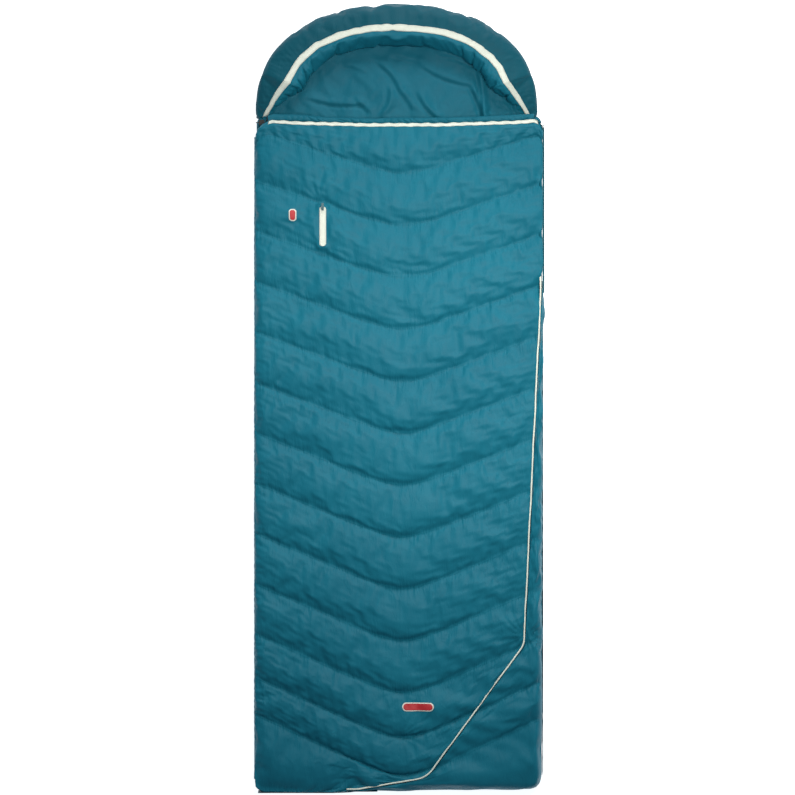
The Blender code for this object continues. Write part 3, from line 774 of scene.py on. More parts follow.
def build_back():
    """The pad that lies on the ground."""
    rows = np.linspace(0, SEAM_COUNT + 1, (SEAM_COUNT + 1) * BACK_ROWS_EACH + 1)
    across = spaced(BACK_COLUMNS, 0.5)
    upper = np.zeros((len(rows), BACK_COLUMNS, 3))
    for i, row in enumerate(rows):
        x = LEFT_X + across * (BACK_RIGHT - LEFT_X)
        y = row_y(row, x, back_top_y, BACK_FOOT_Y)
        inset = corner_inset(y, FOOT_RADIUS) + rounding(BACK_TOP_Y - y, 0.030)
        upper[i, :, 0] = x - inset * np.where(across > 0.5, 1, -1) * abs(2 * across - 1) ** 3
        upper[i, :, 1] = y
    row_map = np.repeat(rows[:, None], BACK_COLUMNS, 1)
    side = np.minimum(upper[:, :, 0] - upper[:, :1, 0], upper[:, -1:, 0] - upper[:, :, 0])
    end = np.minimum(BACK_TOP_Y - upper[:, :, 1], upper[:, :, 1] - BACK_FOOT_Y)
    rise = np.minimum(round_edge(side, 0.02), round_edge(end, 0.02))
    ring = 0.017
    lift = chamber_lift(row_map, upper[:, :, 0], 0.005)
    lower = upper.copy()
    upper[:, :, 2] = ring + (BACK_TOP - 0.004 + lift - ring) * rise
    lower[:, :, 2] = ring - (ring - 0.003 + 0.3 * lift) * rise
    obj, under = closed_pad("back_quilt", upper, lower, row_map, upper[:, :, 0])
    number = np.arange(row_map.size).reshape(row_map.shape)
    for seam in range(0, SEAM_COUNT + 2):
        pin(obj, number[seam * BACK_ROWS_EACH])
        pin(obj, under[seam * BACK_ROWS_EACH])
    pin(obj, number[:, 0])
    pin(obj, number[:, -1])
    obj.data.materials.append(LINING)
    obj.data.materials.append(SHELL)
    quads = (row_map.shape[0] - 1) * (row_map.shape[1] - 1)
    obj.data.polygons.foreach_set("material_index", np.repeat([0, 1], quads).astype(np.int32))
    add_cloth(obj, 1.5, 0.03, 0.2, 0.006)
    return obj


# %% Grid of the wrap beside the zip
WRAP_FIRST_ROW = 3.9
WRAP_COLUMNS = 25
LIP_LEVEL = 0.0800
ZIP_LIP = 0.0030


def path_point(row):
    """The point of the zip path on a row, and the outward direction there."""
    x = zip_crossing(row)
    y = float(row_y(row, np.array([x]), neck_y, FOOT_Y)[0])
    near = int(np.argmin(np.hypot(ZIP_PATH[:, 0] - x, ZIP_PATH[:, 1] - y)))
    along = ZIP_PATH[min(near + 1, len(ZIP_PATH) - 1)] - ZIP_PATH[max(near - 1, 0)]
    along /= np.hypot(*along)
    return np.array([x, y]), np.array([-along[1], along[0]])


def build_wrap():
    """The strip and foot corner outside the zip, at the cover's level."""
    count = int((SEAM_COUNT + 1 - WRAP_FIRST_ROW) * ROWS_EACH) + 1
    rows = np.linspace(WRAP_FIRST_ROW, SEAM_COUNT + 1, count)
    across = spaced(WRAP_COLUMNS, 0.5)
    upper = np.zeros((count, WRAP_COLUMNS, 3))
    for i, row in enumerate(rows):
        point, outward = path_point(row)
        start = point + outward * ZIP_LIP
        end_y = float(row_y(row, np.array([BACK_RIGHT]), neck_y, BACK_FOOT_Y)[0])
        end = BACK_RIGHT - corner_inset(end_y, FOOT_RADIUS)
        x = start[0] + across * (end - start[0])
        y = row_y(row, x, neck_y, BACK_FOOT_Y)
        upper[i, :, 0] = x
        upper[i, :, 1] = y + (start[1] - y[0]) * (1 - across) ** 3
    row_map = np.repeat(rows[:, None], WRAP_COLUMNS, 1)
    inner = upper[:, :, 0] - upper[:, :1, 0]
    outer = upper[:, -1:, 0] - upper[:, :, 0]
    foot = upper[:, :, 1] - BACK_FOOT_Y
    crest = SEAM_LEVEL + chamber_lift(row_map, upper[:, :, 0], CREST_LEVEL - SEAM_LEVEL)
    ring = 0.018 + (LIP_LEVEL - 0.018) * (1 - across)[None, :] ** 4
    rise = np.minimum(np.minimum(round_edge(inner, 0.02), round_edge(outer, 0.03)), round_edge(foot, 0.03))
    lower = upper.copy()
    upper[:, :, 2] = ring + (crest - ring) * rise
    under_zip = 1 - step_up(inner, 0.006, 0.010)
    floor = np.where(under_zip > 0.5, 0.0772, 0.034)
    lower[:, :, 2] = np.minimum(floor + (ring - floor) * (1 - rise), upper[:, :, 2] - 0.001)
    obj, under = closed_pad("wrap_quilt", upper, lower, row_map, upper[:, :, 0])
    number = np.arange(row_map.size).reshape(row_map.shape)
    for i, row in enumerate(rows):
        if abs(row - round(row)) < 0.5 / ROWS_EACH or i in (0, count - 1):
            pin(obj, number[i])
    pin(obj, number[:, 0])
    pin(obj, number[:, -1])
    pin(obj, np.unique(under))
    obj.data.materials.append(SHELL)
    add_cloth(obj, 2.5, 0.025, 0.12, 0.008)
    return obj


def build_wall(name, start, end, low, high):
    """A thin side that stands between the underlay's edge and the zip, with a slow wave in it."""
    part = np.linspace(0, 1, 200)
    up = np.linspace(0, 1, 9)
    run = np.array(end) - np.array(start)
    length = np.hypot(*run)
    inward = np.array([-run[1], run[0]]) / length
    travel = start[1] + length * part
    middle = np.array(start) + run * part[:, None]
    folds = waver(travel, 61, 0.0006, 0.05)[:, None] * np.sin(math.pi * up)[None, :]
    grid = np.zeros((200, 9, 3))
    grid[:, :, :2] = middle[:, None, :] - inward * folds[:, :, None]
    tops = high - low + waver(travel, 67, 0.0008, 0.09)
    grid[:, :, 2] = low + tops[:, None] * up[None, :]
    inner = grid.copy()
    inner[:, :, :2] += inward * (0.0012 * np.sin(math.pi * up) ** 0.3)[None, :, None]
    row_map = np.repeat(((FIRST_SEAM_Y + 0.12 - travel) / SEAM_PITCH + 1)[:, None], 9, 1)
    obj, _ = closed_pad(name, grid, inner, row_map, np.repeat(up[None, :], 200, 0))
    obj.data.materials.append(SHELL)
    turn_out(obj)
    return obj


BACK = build_back()
WRAP = build_wrap()
SIDE_X = HALF_WIDTH - 0.0005
SEAM_X = HALF_WIDTH - 0.0008
FOOT_WALL_Y = 0.0054 - HALF_LENGTH
WALL = build_wall("side_wall", (SIDE_X, 0.300), (SIDE_X, 0.781), 0.016, 0.074)
FOOT_WALL = build_wall("foot_wall", (-0.3985, FOOT_WALL_Y), (-0.060, FOOT_WALL_Y), 0.016, 0.0625)
EDGE_WALL = build_wall("edge_seam", (SEAM_X, -1.080), (SEAM_X, 0.302), 0.009, 0.033)
print("underlay", len(BACK.data.vertices), "points, wrap", len(WRAP.data.vertices), "points")

# %% [markdown]
# ## The hood
# The hood's rim is a fat roll with a white tape along its crest. Outside the tape the shell
# is smooth, and inside it the lining is gathered on the drawcord. Inside the rim lies
# the hood's liner, one loose sheet that carries on under the cover.

# %% Rim of the hood
HOOD_BASE_Y = 0.789
HOOD_WIDTH = 0.804
HOOD_ROUNDNESS = 2.3
RIM_HALF_WIDTH = 0.0620
RIM_HALF_HEIGHT = 0.047
RIM_AROUND = 48
RIM_ALONG = 160
TAPE_HALF = 0.0092
CREST_SHIFT = 0.0150
HOOD_SHIFT = -0.0055


def hood_point(angle, inward):
    """A point inside the hood's outline, and the outward direction there."""
    power = 2 / HOOD_ROUNDNESS
    half_width = HOOD_WIDTH / 2
    height = HALF_LENGTH - HOOD_BASE_Y
    x = half_width * math.copysign(abs(math.cos(angle)) ** power, math.cos(angle))
    y = height * abs(math.sin(angle)) ** power
    slope = Vector((
        math.copysign(abs(x / half_width) ** (HOOD_ROUNDNESS - 1), x) / half_width,
        (y / height) ** (HOOD_ROUNDNESS - 1) / height,
    ))
    out = slope.normalized()
    return Vector((x * 1.006 + HOOD_SHIFT, HOOD_BASE_Y + y)) - out * inward, out


def rim_station(angle):
    """Centre, outward direction and scale of the rim at an angle; its arms taper to the neck."""
    scale = 1.0
    for _ in range(4):
        centre, out = hood_point(angle, RIM_HALF_WIDTH * scale + 0.0025)
        scale = min(1.0, 0.29 + 7.0 * max(centre.y - 0.797, 0))
    return centre, out, scale


def rim_surface(angle, turn):
    """A point on the rim: turn 0 is the outside, 90 the crest, 180 the inside."""
    centre, out, scale = rim_station(angle)
    crest = math.exp(-((turn - math.radians(90)) / 0.30) ** 2)
    wide = RIM_HALF_WIDTH * scale * math.cos(turn) * 0.985
    high = RIM_HALF_HEIGHT * scale * (math.sin(turn) - 0.06 * crest)
    spot = centre + out * (wide - CREST_SHIFT * scale * max(math.sin(turn), 0) ** 2)
    return (spot.x, spot.y, 0.0035 + RIM_HALF_HEIGHT * scale + high)


RIM_TURNS = np.radians(np.linspace(90, -90, RIM_ALONG))
RIM_ANGLES = np.radians(90 - 88.9 * np.sin(RIM_TURNS * 0.8) / math.sin(math.radians(72)))


def build_rim():
    """The rim as a closed tube of fabric, gathered on its inner side."""
    turns = np.linspace(0, 2 * math.pi, RIM_AROUND, endpoint=False)
    points = [rim_surface(angle, turn) for angle in RIM_ANGLES for turn in turns]
    faces = []
    for i in range(RIM_ALONG - 1):
        for j in range(RIM_AROUND):
            k = (j + 1) % RIM_AROUND
            a = i * RIM_AROUND
            faces.append((a + j, a + RIM_AROUND + j, a + RIM_AROUND + k, a + k))
    faces.append(tuple(range(RIM_AROUND)))
    faces.append(tuple(reversed(range((RIM_ALONG - 1) * RIM_AROUND, RIM_ALONG * RIM_AROUND))))
    obj = new_mesh("hood_rim", points, faces)
    mesh = obj.data
    work = bmesh.new()
    work.from_mesh(mesh)
    bmesh.ops.recalc_face_normals(work, faces=work.faces)
    layer = work.loops.layers.uv.new("seam_map")
    for face in work.faces:
        for loop in face.loops:
            along, around = divmod(loop.vert.index, RIM_AROUND)
            loop[layer].uv = (along / RIM_ALONG * 1.1, around / RIM_AROUND * 4)
        middle = face.calc_center_median()
        along = face.verts[0].index // RIM_AROUND
        centre, out, scale = rim_station(RIM_ANGLES[min(along, RIM_ALONG - 1)])
        # Outside the tape the faces take the darker hood copy of the shell, painted shade on the band that
        # faces the light. Inside the tape, where the real bag has its lining, they take the brighter shell
        # colour, painted light on the lobe that lies in shade.
        face.material_index = 1 if (Vector(middle[:2]) - centre).dot(out) < -CREST_SHIFT * scale else 0
    work.to_mesh(mesh)
    work.free()
    mesh.materials.append(HOOD_SHELL_SHADED)
    mesh.materials.append(SHELL)
    quarter = RIM_AROUND / 4
    width = TAPE_HALF / RIM_HALF_WIDTH / (2 * math.pi) * RIM_AROUND
    held = []
    for place in (quarter - width, quarter, quarter + width, 3 * quarter, 2 * quarter + 3):
        j = round(place)
        held += [i * RIM_AROUND + j for i in range(RIM_ALONG)]
    pin(obj, held)
    pin(obj, range(RIM_AROUND))
    pin(obj, range((RIM_ALONG - 1) * RIM_AROUND, RIM_ALONG * RIM_AROUND))
    add_cloth(obj, 2.0, 0.04, 0.10, 0.008)
    return obj


# %% Liner and back of the hood
LINER_FROM_Y = 0.740
LINER_COLUMNS = 101
LINER_ROWS = 45
LINER_LEVEL = BACK_TOP + 0.006


def rim_line(count):
    """Points along the middle of the rim, from the left arm to the right."""
    angles = np.radians(np.linspace(178.9, 1.1, count))
    found = [rim_station(angle)[0] for angle in angles]
    return np.array([(p.x, p.y) for p in found])


def build_liner():
    """A loose sheet from under the cover up to the rim, a little too long for its frame."""
    curve = rim_line(300)
    left, right = curve[:, 0].min() + 0.001, curve[:, 0].max() - 0.001
    share = (np.sin(np.linspace(-math.pi / 2, math.pi / 2, LINER_COLUMNS)) + 1) / 2
    x = left + (right - left) * share
    top = np.interp(x, curve[:, 0], curve[:, 1])
    part = np.linspace(0, 1, LINER_ROWS)
    grid = np.zeros((LINER_ROWS, LINER_COLUMNS, 3))
    grid[:, :, 0] = x[None, :]
    grid[:, :, 1] = LINER_FROM_Y + (top[None, :] - LINER_FROM_Y) * part[:, None]
    source = np.random.default_rng(21)
    grid[:, :, 2] = LINER_LEVEL + source.normal(0, 0.0006, grid.shape[:2])
    number = np.arange(grid.shape[0] * LINER_COLUMNS).reshape(LINER_ROWS, LINER_COLUMNS)
    quads = np.stack([number[:-1, :-1], number[:-1, 1:], number[1:, 1:], number[1:, :-1]], -1)
    obj = new_mesh("hood_liner_sheet", grid.reshape(-1, 3).tolist(), quads.reshape(-1, 4).tolist())
    mesh = obj.data
    layer = mesh.uv_layers.new(name="seam_map")
    for loop in mesh.loops:
        spot = mesh.vertices[loop.vertex_index].co
        layer.data[loop.index].uv = (spot.x, 0.5)
    pin(obj, number[0])
    pin(obj, number[-1])
    pin(obj, number[:, 0])
    pin(obj, number[:, -1])
    mesh.materials.append(LINING)
    add_cloth(obj, 0.4, 0.015, 0.05, 0.010)
    return obj


RIM = build_rim()
LINER = build_liner()
print("rim", len(RIM.data.vertices), "points, liner", len(LINER.data.vertices), "points")

# %% Run every cloth together
run_cloths()


def smooth_up(obj, levels=1):
    """One subdivision, applied, on a shaped cloth."""
    step = obj.modifiers.new("smooth", "SUBSURF")
    step.levels = levels
    step.render_levels = levels
    bpy.ops.object.select_all(action="DESELECT")
    bpy.context.view_layer.objects.active = obj
    obj.select_set(True)
    bpy.ops.object.modifier_apply(modifier="smooth")


for pad in (COVER, BACK, WRAP, RIM, LINER):
    smooth_up(pad)
    print(pad.name, len(pad.data.polygons), "faces")

# %% [markdown]
# ## Folds too fine for the cloth
# Stitching gathers the cloth, and the extra cloth stands up in small ridges that cross the seam.
# They are finer than the simulated grid, so they are pushed into the smoothed mesh
# afterwards: a ridge follows the line square to its seam and dies out in the chamber's middle.

# %% Noise and mesh helpers
def soft_noise(u, v, seed):
    """Smooth random values between -1 and 1 over a plane."""
    table = np.random.default_rng(seed).uniform(-1, 1, (128, 128))
    left, low = np.floor(u).astype(int), np.floor(v).astype(int)
    a, b = u - left, v - low
    a, b = a * a * (3 - 2 * a), b * b * (3 - 2 * b)
    lower = table[left % 128, low % 128] * (1 - a) + table[(left + 1) % 128, low % 128] * a
    upper = table[left % 128, (low + 1) % 128] * (1 - a) + table[(left + 1) % 128, (low + 1) % 128] * a
    return lower * (1 - b) + upper * b


def ridges(u, v, seed):
    """Round crests with sharp valleys between them, about one for each step of u."""
    moved = u + 0.9 * soft_noise(u * 0.35, v, seed) + 0.35 * soft_noise(u * 1.1, v * 2, seed + 1)
    tall = 0.35 + 0.65 * step_up(soft_noise(u * 0.6, v, seed + 2), -0.5, 0.6)
    return np.abs(np.sin(math.pi * moved)) * tall


def mesh_points(obj):
    """Vertex places and normals as arrays."""
    count = len(obj.data.vertices)
    places = np.empty(count * 3)
    normals = np.empty(count * 3)
    obj.data.vertices.foreach_get("co", places)
    obj.data.vertices.foreach_get("normal", normals)
    return places.reshape(-1, 3), normals.reshape(-1, 3)


def mesh_map(obj):
    """The seam map's value at each vertex."""
    count = len(obj.data.loops)
    which = np.empty(count, np.int32)
    flat = np.empty(count * 2)
    obj.data.loops.foreach_get("vertex_index", which)
    obj.data.uv_layers["seam_map"].data.foreach_get("uv", flat)
    found = np.zeros((len(obj.data.vertices), 2))
    found[which] = flat.reshape(-1, 2)
    return found[:, 0], found[:, 1]


def write_points(obj, places):
    """Put changed places back into a mesh."""
    obj.data.vertices.foreach_set("co", places.reshape(-1))
    obj.data.update()


# %% Puckers along the seams
def seam_folds(obj, size, edge_left=None):
    """Ridges square to every seam, dense in the first chamber, with longer folds on the right."""
    places, normals = mesh_points(obj)
    x, row = mesh_map(obj)
    chamber = np.floor(np.clip(row, 0, SEAM_COUNT + 0.999))
    part = np.clip(row - chamber, 0, 1)
    slope = SEAM_SLOPE + SEAM_SLOPE_STEP * chamber
    slope = slope * (x - SEAM_CENTRE_X) / np.hypot(x - SEAM_CENTRE_X, SEAM_NOSE * 1.6)
    square = x - slope * part * SEAM_PITCH * 0.8
    near = np.minimum(part, 1 - part)
    rise = step_up(near, 0.0, 0.13)
    reach = 0.20 + 0.12 * soft_noise(x * 9, row * 2.3, 29)
    fade = np.exp(-((near / reach) ** 1.4))
    dense = np.where(chamber == 0, 1.0, 0.0)
    fade = np.maximum(fade, dense * 0.9)
    patchy = 0.25 + 0.75 * step_up(soft_noise(x * 7, row * 1.7, 37), -0.5, 0.6)
    broad = ridges(square / 0.047, chamber * 3.7 + part * 0.9, 31)
    fine = ridges(square / 0.021, chamber * 5.3 + part * 1.6, 47)
    height = size * rise * fade * patchy * (0.7 * broad + 0.6 * fine)
    long_u = (places[:, 1] + 0.30 * x + 0.02 * soft_noise(x * 6, row, 67)) / 0.050
    long = ridges(long_u, x * 1.8, 71) * step_up(x, 0.02, 0.25) * (0.35 + 0.65 * step_up(part, 0.1, 0.45))
    drawn = step_up(soft_noise(x * 3.5, places[:, 1] * 7, 83), 0.0, 0.8)
    height = height + size * 0.8 * long * drawn * rise
    slant = ridges((x * 0.8 + places[:, 1] * 0.6) / 0.060, (x - places[:, 1]) * 3, 89)
    shown = step_up(soft_noise(x * 4.5 + 9, places[:, 1] * 4.5, 101), 0.15, 0.8)
    height = height + size * 0.7 * slant * shown * rise
    if edge_left is not None:
        close = np.exp(-np.clip(places[:, 0] - edge_left, 0, 1) / 0.024)
        height = height + size * 0.9 * close * ridges(places[:, 1] / 0.019, x * 9, 97)
    upward = np.clip(normals[:, 2] * 1.4, 0, 1)
    upward = np.maximum(upward, 0.35 * np.clip(-normals[:, 2], 0, 1))
    places += normals * (height * upward)[:, None]
    write_points(obj, places)


def star(obj, spot, size, reach, spokes, dip, seed):
    """Folds that run out from a point where the cloth is pulled in."""
    places, normals = mesh_points(obj)
    away = np.hypot(places[:, 0] - spot[0], places[:, 1] - spot[1])
    turn = np.arctan2(places[:, 1] - spot[1], places[:, 0] - spot[0])
    folds = ridges(turn * spokes / (2 * math.pi) + away * 6, away * 7, seed)
    height = size * folds * np.exp(-((away / reach) ** 1.5)) * step_up(away, 0.004, 0.022)
    height = height - dip * np.exp(-((away / (reach * 0.5)) ** 2))
    upward = np.clip(normals[:, 2] * 1.4, 0, 1)
    places[:, 2] += height * upward
    write_points(obj, places)


seam_folds(COVER, 0.0036, LEFT_X)
seam_folds(WRAP, 0.0030)
seam_folds(BACK, 0.0020)
star(COVER, (POCKET_X, POCKET_HIGH.y + 0.012), 0.0050, 0.075, 17, 0.005, 501)
star(COVER, (POCKET_X, POCKET_LOW.y - 0.010), 0.0045, 0.060, 15, 0.005, 509)
for pad, seed in ((COVER, 521), (WRAP, 523)):
    star(pad, (0.362, -0.672), 0.0050, 0.075, 16, 0.002, seed)
for number in (3, 6, 8, 11, 12):
    nose = (SEAM_CENTRE_X + 0.01 * math.sin(number * 5), seam_y(number, SEAM_CENTRE_X))
    star(COVER, nose, 0.0036, 0.055, 13, 0.001, 540 + number)


def press_flat(obj, low, high, level, reach=0.014):
    """Hold the cloth down under a stiff patch, and let it rise again beside it."""
    places, _ = mesh_points(obj)
    beside = np.maximum(np.abs(places[:, 0] - (low[0] + high[0]) / 2) - (high[0] - low[0]) / 2, 0)
    beyond = np.maximum(np.abs(places[:, 1] - (low[1] + high[1]) / 2) - (high[1] - low[1]) / 2, 0)
    away = np.hypot(beside, beyond)
    hold = (1 - step_up(away, 0.003, reach)) * (places[:, 2] > 0.060)
    places[:, 2] += (level - places[:, 2]) * hold
    write_points(obj, places)


press_flat(COVER, POCKET_LOW, POCKET_HIGH, POCKET_LOW.z - 0.0010, 0.012)

# %% Gathers of the rim and folds of the liner
def rim_gathers(obj):
    """Deep pleats here and there on the inner lobe, and faint ones outside."""
    places, normals = mesh_points(obj)
    along, around = mesh_map(obj)
    turn = around / 4 * 360
    inner = step_up(turn, 102, 128) * (1 - step_up(turn, 190, 220))
    outer = step_up(turn, 10, 35) * (1 - step_up(turn, 66, 80))
    moved = along * 17 + 1.4 * soft_noise(along * 7, turn / 300, 131)
    deep = np.exp(-((np.abs(moved % 1.0 - 0.5) / 0.085) ** 1.5))
    deep = deep * step_up(soft_noise(np.floor(moved) * 1.7, 0 * turn, 139), -0.7, 0.2)
    small = ridges(along * 60, turn / 90, 149)
    height = inner * (-0.0085 * deep + 0.0016 * small) + outer * 0.0008 * small
    places += normals * height[:, None]
    write_points(obj, places)


CREASES = (
    ((-0.069, 0.957), (0.002, 0.862), 0.010, 0.0060),
    ((-0.035, 0.890), (-0.056, 0.812), 0.012, 0.0050),
    ((-0.129, 0.851), (-0.088, 0.812), 0.000, 0.0045),
    ((0.058, 0.946), (0.201, 0.887), -0.010, 0.0045),
    ((0.201, 0.884), (0.234, 0.790), 0.006, 0.0090),
    ((0.219, 0.930), (0.236, 0.790), 0.004, 0.0080),
    ((0.004, 0.872), (0.034, 0.822), 0.000, 0.0045),
    ((0.050, 0.862), (0.113, 0.790), -0.006, 0.0060),
    ((-0.161, 0.943), (-0.100, 0.925), 0.004, 0.0030),
    ((-0.260, 0.850), (-0.110, 0.832), -0.008, 0.0050),
    ((-0.330, 0.880), (-0.230, 0.935), 0.008, 0.0040),
    ((0.110, 0.975), (0.215, 0.945), 0.006, 0.0035),
    ((-0.020, 0.975), (0.060, 0.955), -0.004, 0.0030),
    ((0.300, 0.870), (0.330, 0.815), 0.003, 0.0050),
)


def crease(x, y, start, end, bow):
    """Distance from a bowed line, and how far along it a point is, from 0 to 1."""
    run = np.array(end) - np.array(start)
    length = np.hypot(*run)
    part = ((x - start[0]) * run[0] + (y - start[1]) * run[1]) / length ** 2
    off = ((x - start[0]) * -run[1] + (y - start[1]) * run[0]) / length
    return off - bow * np.sin(math.pi * np.clip(part, 0, 1)), part


def liner_folds(obj):
    """A few long creases with a raised side each, over slow waves in the cloth."""
    places, _ = mesh_points(obj)
    x, y = places[:, 0], places[:, 1]
    high = 0.0060 * soft_noise(x * 6, y * 8, 191) + 0.0020 * soft_noise(x * 17, y * 13, 193)
    for start, end, bow, depth in CREASES:
        off, part = crease(x, y, start, end, bow)
        shown = step_up(part, -0.15, 0.2) * (1 - step_up(part, 0.85, 1.2))
        raised = 1.1 * np.exp(-(((off - 0.011) / 0.011) ** 2))
        high += depth * shown * (raised - np.exp(-((off / 0.006) ** 2)))
    fan = np.arctan2(x, y - 0.60)
    high += 0.0022 * ridges(fan * 14, y * 9, 179) * (1 - step_up(y, 0.80, 0.90))
    edge = step_up(y, LINER_FROM_Y, LINER_FROM_Y + 0.05)
    places[:, 2] = np.maximum(places[:, 2] + high * edge, BACK_TOP + 0.001)
    write_points(obj, places)


rim_gathers(RIM)
liner_folds(LINER)


def keep_above(obj, level):
    """Flatten what hangs below a level, as cloth does on the ground."""
    for vertex in obj.data.vertices:
        vertex.co.z = max(vertex.co.z, level)


keep_above(BACK, 0.0004)
keep_above(RIM, 0.0004)
keep_above(COVER, 0.0440)
print("folds pressed into five cloths")

# %% [markdown]
# ## Hood base
# The back of the hood is a flat padded D between the rim's arms, under the liner.

# %% Hood base
def build_hood_base():
    """The padded D that lies on the ground inside the rim."""
    curve = rim_line(300)
    curve = curve[curve[:, 1] > 0.840]
    share = (np.sin(np.linspace(-math.pi / 2, math.pi / 2, 41)) + 1) / 2
    x = curve[0, 0] + 0.002 + (curve[-1, 0] - curve[0, 0] - 0.004) * share
    top = np.interp(x, curve[:, 0], curve[:, 1])
    part = np.linspace(0, 1, 21)
    upper = np.zeros((21, 41, 3))
    upper[:, :, 0] = x
    upper[:, :, 1] = 0.829 + (top - 0.829) * part[:, None]
    side = np.minimum(x - x[0], x[-1] - x)[None, :]
    rise = round_edge(np.minimum(side, np.minimum(upper[:, :, 1] - 0.829, top - upper[:, :, 1])), 0.02)
    lower = upper.copy()
    upper[:, :, 2] = 0.015 + 0.014 * rise + 0.001 * soft_noise(upper[:, :, 0] * 18, upper[:, :, 1] * 18, 5)
    lower[:, :, 2] = 0.015 - 0.0135 * rise
    obj, _ = closed_pad("hood_base", upper, lower, upper[:, :, 1], upper[:, :, 0])
    obj.data.materials.append(SHELL)
    smooth_up(obj)
    return obj


def tube(name, centres, sizes, around, material, lumps=0.0):
    """A closed soft tube through (place, side, up) stations, with round ends."""
    count = len(centres)
    places = np.array(centres, float)
    along = np.gradient(places, axis=0)
    along /= np.linalg.norm(along, axis=1)[:, None]
    side = np.cross(along, (0, 0, 1))
    side /= np.linalg.norm(side, axis=1)[:, None]
    rise = np.cross(side, along)
    turns = np.linspace(0, 2 * math.pi, around, endpoint=False)
    length = np.concatenate([[0], np.cumsum(np.linalg.norm(np.diff(places, axis=0), axis=1))])
    rings = []
    for i in range(count):
        wide, high = sizes[i]
        swell = 1 + lumps * soft_noise(np.full(around, length[i] / 0.03), turns, 203)
        ring = places[i] + (side[i] * wide)[None, :] * (np.cos(turns) * swell)[:, None]
        rings.append(ring + (rise[i] * high)[None, :] * (np.sin(turns) * swell)[:, None])
    points = np.concatenate(rings + [places[:1], places[-1:]])
    faces = []
    for i in range(count - 1):
        for j in range(around):
            k = (j + 1) % around
            faces.append((i * around + j, i * around + k, (i + 1) * around + k, (i + 1) * around + j))
    first, last = count * around, count * around + 1
    for j in range(around):
        k = (j + 1) % around
        faces.append((first, k, j))
        faces.append((last, (count - 1) * around + j, (count - 1) * around + k))
    obj = new_mesh(name, points.tolist(), faces)
    mesh = obj.data
    work = bmesh.new()
    work.from_mesh(mesh)
    bmesh.ops.recalc_face_normals(work, faces=work.faces)
    layer = work.loops.layers.uv.new("seam_map")
    for face in work.faces:
        for loop in face.loops:
            number = min(loop.vert.index // around, count - 1)
            loop[layer].uv = (length[number], (loop.vert.index % around) / around)
    work.to_mesh(mesh)
    work.free()
    mesh.materials.append(material)
    return obj


HOOD_BASE = build_hood_base()
print("hood base", len(HOOD_BASE.data.polygons), "faces")

# %% [markdown]
# ## Trims that lie on the cloth
# Tape, facing, piping, pocket zip and patches are thin and follow what is under them. The tapes, the
# pocket zip and the patches are fine grids whose heights are found by dropping rays on the finished
# cloth, so they never float. The facing and the piping are set at given heights.

# %% Drop heights
def drop_on(*pads):
    """A function that gives the height of the pads under a point."""
    trees = []
    for pad in pads:
        mesh = pad.data
        corners = [vertex.co for vertex in mesh.vertices]
        trees.append(BVHTree.FromPolygons(corners, [tuple(face.vertices) for face in mesh.polygons]))

    def level(x, y, missing):
        """Height at x, y, or the given value where nothing is hit."""
        hits = [tree.ray_cast(Vector((x, y, 0.3)), Vector((0, 0, -1)))[0] for tree in trees]
        found = [hit.z for hit in hits if hit is not None]
        return max(found) if found else missing

    return level


def smooth_rows(values, passes):
    """Average a grid of heights along its rows."""
    for _ in range(passes):
        inner = (values[:-2] + 2 * values[1:-1] + values[2:]) / 4
        values = np.concatenate([values[:1], inner, values[-1:]])
    return values


def ribbon(name, centres, outs, halves, columns, level, lift, thick, material, passes=3):
    """A thin closed strip along centres, laid on the cloth, with its map in metres and 0 to 1."""
    across = np.linspace(-1, 1, columns)
    count = len(centres)
    upper = np.zeros((count, columns, 3))
    spread = across[None, :] * halves[:, None]
    upper[:, :, :2] = centres[:, None, :] + outs[:, None, :] * spread[:, :, None]
    for i in range(count):
        for j in range(columns):
            upper[i, j, 2] = level(upper[i, j, 0], upper[i, j, 1], np.nan)
    flat = upper[:, :, 2]
    flat[np.isnan(flat)] = np.nanmin(flat) if np.isfinite(flat).any() else 0.08
    raised = smooth_rows(flat, passes)
    above = np.clip(flat - raised, 0, None).max(axis=1, keepdims=True)
    flat = raised + smooth_rows(above, 2) + lift
    lower = upper.copy()
    bulge = round_edge(1 - abs(across), 0.25)[None, :]
    ends = round_edge(np.minimum(np.arange(count), count - 1 - np.arange(count)), 2.0)[:, None]
    upper[:, :, 2] = flat + thick * bulge * ends
    lower[:, :, 2] = flat - 0.4 * thick * bulge * ends
    steps = np.linalg.norm(np.diff(centres, axis=0), axis=1)
    length = np.concatenate([[0], np.cumsum(steps)])
    map_u = np.repeat(length[:, None], columns, 1)
    map_v = np.repeat(((across + 1) / 2)[None, :], count, 0)
    obj, _ = closed_pad(name, upper, lower, map_v, map_u)
    obj.data.materials.append(material)
    return obj


# %% Hood tape
def crest_line(count, first):
    """Places along the rim's crest with outward directions, angles and scales."""
    angles = np.radians(np.linspace(first, 180 - first, count))
    stations = [rim_station(angle) for angle in angles]
    scales = np.array([station[2] for station in stations])
    outs = np.array([station[1][:] for station in stations])
    centres = np.array([station[0][:] for station in stations]) - outs * (CREST_SHIFT * scales)[:, None]
    return centres, outs, angles, scales


def build_hood_tape():
    """The white tape on the rim's crest, from arm to arm."""
    centres, outs, angles, scales = crest_line(420, 1.3)
    steps = np.abs(soft_noise(angles * 13, angles * 0, 305)) * 0.0016
    centres = centres + outs * (waver(angles, 301, 0.0014, 0.6) + steps)[:, None]
    halves = 0.0094 + 0.0009 * soft_noise(angles * 11, angles * 0, 307) + steps * 0.5
    halves = halves * (0.45 + 0.55 * scales)
    notch = np.exp(-((angles - math.radians(91)) / 0.014) ** 2)
    halves = halves * (1 - 0.28 * notch)
    return ribbon("hood_tape", centres, outs, halves, 11, drop_on(RIM), 0.0007, 0.0012, BINDING, 3)


CORD_RADIUS = 0.0015


